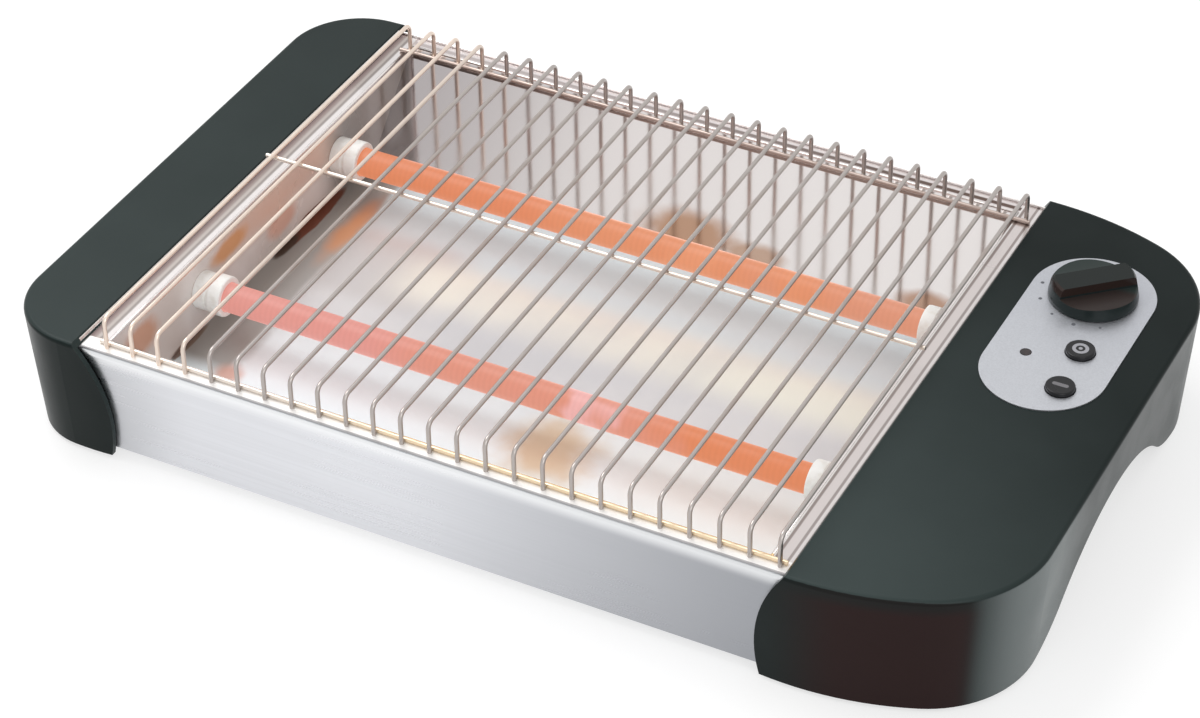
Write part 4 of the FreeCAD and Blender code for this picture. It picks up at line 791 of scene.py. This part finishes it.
def add_tray_lips():
    """The tray's thin upturned edges: one along each cover and one behind the rack."""
    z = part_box("reflector_tray")[1].z
    root, shoulder, top = z - LIP_ROOT, z + LIP_RISE - LIP_ROUND, z + LIP_RISE
    section = ((LIP_FOOT + LIP_THICK, root), (LIP_TIP + LIP_THICK, shoulder),
               (LIP_TIP + LIP_THICK / 2, top), (LIP_TIP, shoulder), (LIP_FOOT, root))
    lips = []
    for end, inwards in LIP_ENDS:
        rows = [evenly(Vector((end + inwards * x, -LIP_DEPTH, level)),
                       Vector((end + inwards * x, LIP_DEPTH, level)), steps=24) for x, level in section]
        lips.append(skin(list(zip(*rows)), flip=inwards > 0))
    left, right = (Vector((BACK_LIP_MIDDLE + sign * BACK_LIP_REACH, BACK_LIP_Y, z + BACK_LIP_RISE))
                   for sign in (-1, 1))
    lips.append(bar(evenly(left, right, steps=24), BACK_LIP_RADIUS, sides=12))
    mesh_piece("tray_lips", joined(lips), "toaster", FINISH["hem"], smooth=False)


add_windings()
add_cap_sleeves()
add_hem()
add_tray_lips()
add_weld_beads()
add_button_marks()
add_dial_marks()


# Stage, lights and camera

def seen_directly(tree):
    """1 where the camera sees a thing, also in a reflection or through glass, and 0 for other light."""
    path = tree.nodes.new("ShaderNodeLightPath")
    seen = path.outputs["Is Camera Ray"]
    for kind in ("Is Glossy Ray", "Is Transmission Ray"):
        seen = add_node(tree, "ShaderNodeMath", {0: seen, 1: path.outputs[kind]},
                        operation="MAXIMUM").outputs[0]
    return seen


def make_floor_paper():
    """A pale floor that keeps shadows, lifted towards white where the camera or a reflection sees it."""
    color, glow = (0.43, 0.43, 0.43, 1.0), 0.64
    material = bpy.data.materials.new("floor_paper")
    material.use_nodes = True
    tree = material.node_tree
    tree.nodes.clear()
    grain = add_node(tree, "ShaderNodeTexNoise", {"Scale": 6.0}).outputs["Fac"]
    diffuse = add_node(tree, "ShaderNodeBsdfDiffuse", {
        "Color": mixed_color(tree, grain, shaded(color, 0.97), color)})
    strength = add_node(tree, "ShaderNodeMath", {0: seen_directly(tree), 1: glow}, operation="MULTIPLY")
    glowing = add_node(tree, "ShaderNodeEmission", {"Strength": strength.outputs[0]})
    both = add_node(tree, "ShaderNodeAddShader", {0: diffuse.outputs[0], 1: glowing.outputs[0]})
    add_node(tree, "ShaderNodeOutputMaterial", {"Surface": both.outputs[0]})
    return material


def make_stage():
    """The floor."""
    reach = 6.0
    mesh = bpy.data.meshes.new("floor")
    mesh.from_pydata([(-reach, -reach, 0), (reach, -reach, 0), (reach, reach, 0), (-reach, reach, 0)], [],
                     [(0, 1, 2, 3)])
    mesh.materials.append(make_floor_paper())
    floor = bpy.data.objects.new("floor", mesh)
    bpy.context.scene.collection.objects.link(floor)


def make_world():
    """Plain light from all sides, and white where it is seen directly."""
    world = bpy.data.worlds.new("studio")
    bpy.context.scene.world = world
    world.use_nodes = True
    tree = world.node_tree
    level = add_node(tree, "ShaderNodeMapRange", {
        "Value": seen_directly(tree), "To Min": 0.7, "To Max": 1.0})
    shader = tree.nodes["Background"]
    shader.inputs["Color"].default_value = (1.0, 1.0, 1.0, 1.0)
    tree.links.new(level.outputs["Result"], shader.inputs["Strength"])


def softbox(name, place, width, height, power):
    """A rectangular lamp that faces the toaster's middle."""
    middle = Vector((0.0, 0.0, 0.03))
    light = bpy.data.lights.new(name, "AREA")
    light.shape = "RECTANGLE"
    light.size, light.size_y = width, height
    light.energy = power
    lamp = bpy.data.objects.new(name, light)
    lamp.location = place
    lamp.rotation_euler = (middle - Vector(place)).to_track_quat("-Z", "Y").to_euler()
    bpy.context.scene.collection.objects.link(lamp)


def make_camera():
    """The photograph's own view."""
    data = bpy.data.cameras.new("photo_camera")
    data.lens = 102.0
    data.sensor_width = 36.0
    data.sensor_fit = "HORIZONTAL"
    data.clip_start, data.clip_end = 0.05, 50.0
    camera = bpy.data.objects.new("photo_camera", data)
    right, up = Vector((0.88884, 0.45807, -0.01146)), Vector((-0.27253, 0.54861, 0.79041))
    back = Vector((0.36835, -0.69943, 0.61247))
    place = (0.48819, -0.94559, 0.84336)
    camera.matrix_world = Matrix.Translation(place) @ Matrix((right, up, back)).transposed().to_4x4()
    bpy.context.scene.collection.objects.link(camera)
    bpy.context.scene.camera = camera


make_stage()
make_world()
softbox("key", (-0.9, 0.2, 1.5), 1.3, 1.0, 14.0)
softbox("fill", (1.2, -1.3, 1.2), 1.2, 1.2, 8.0)
make_camera()
bpy.context.scene.view_settings.view_transform = "Standard"
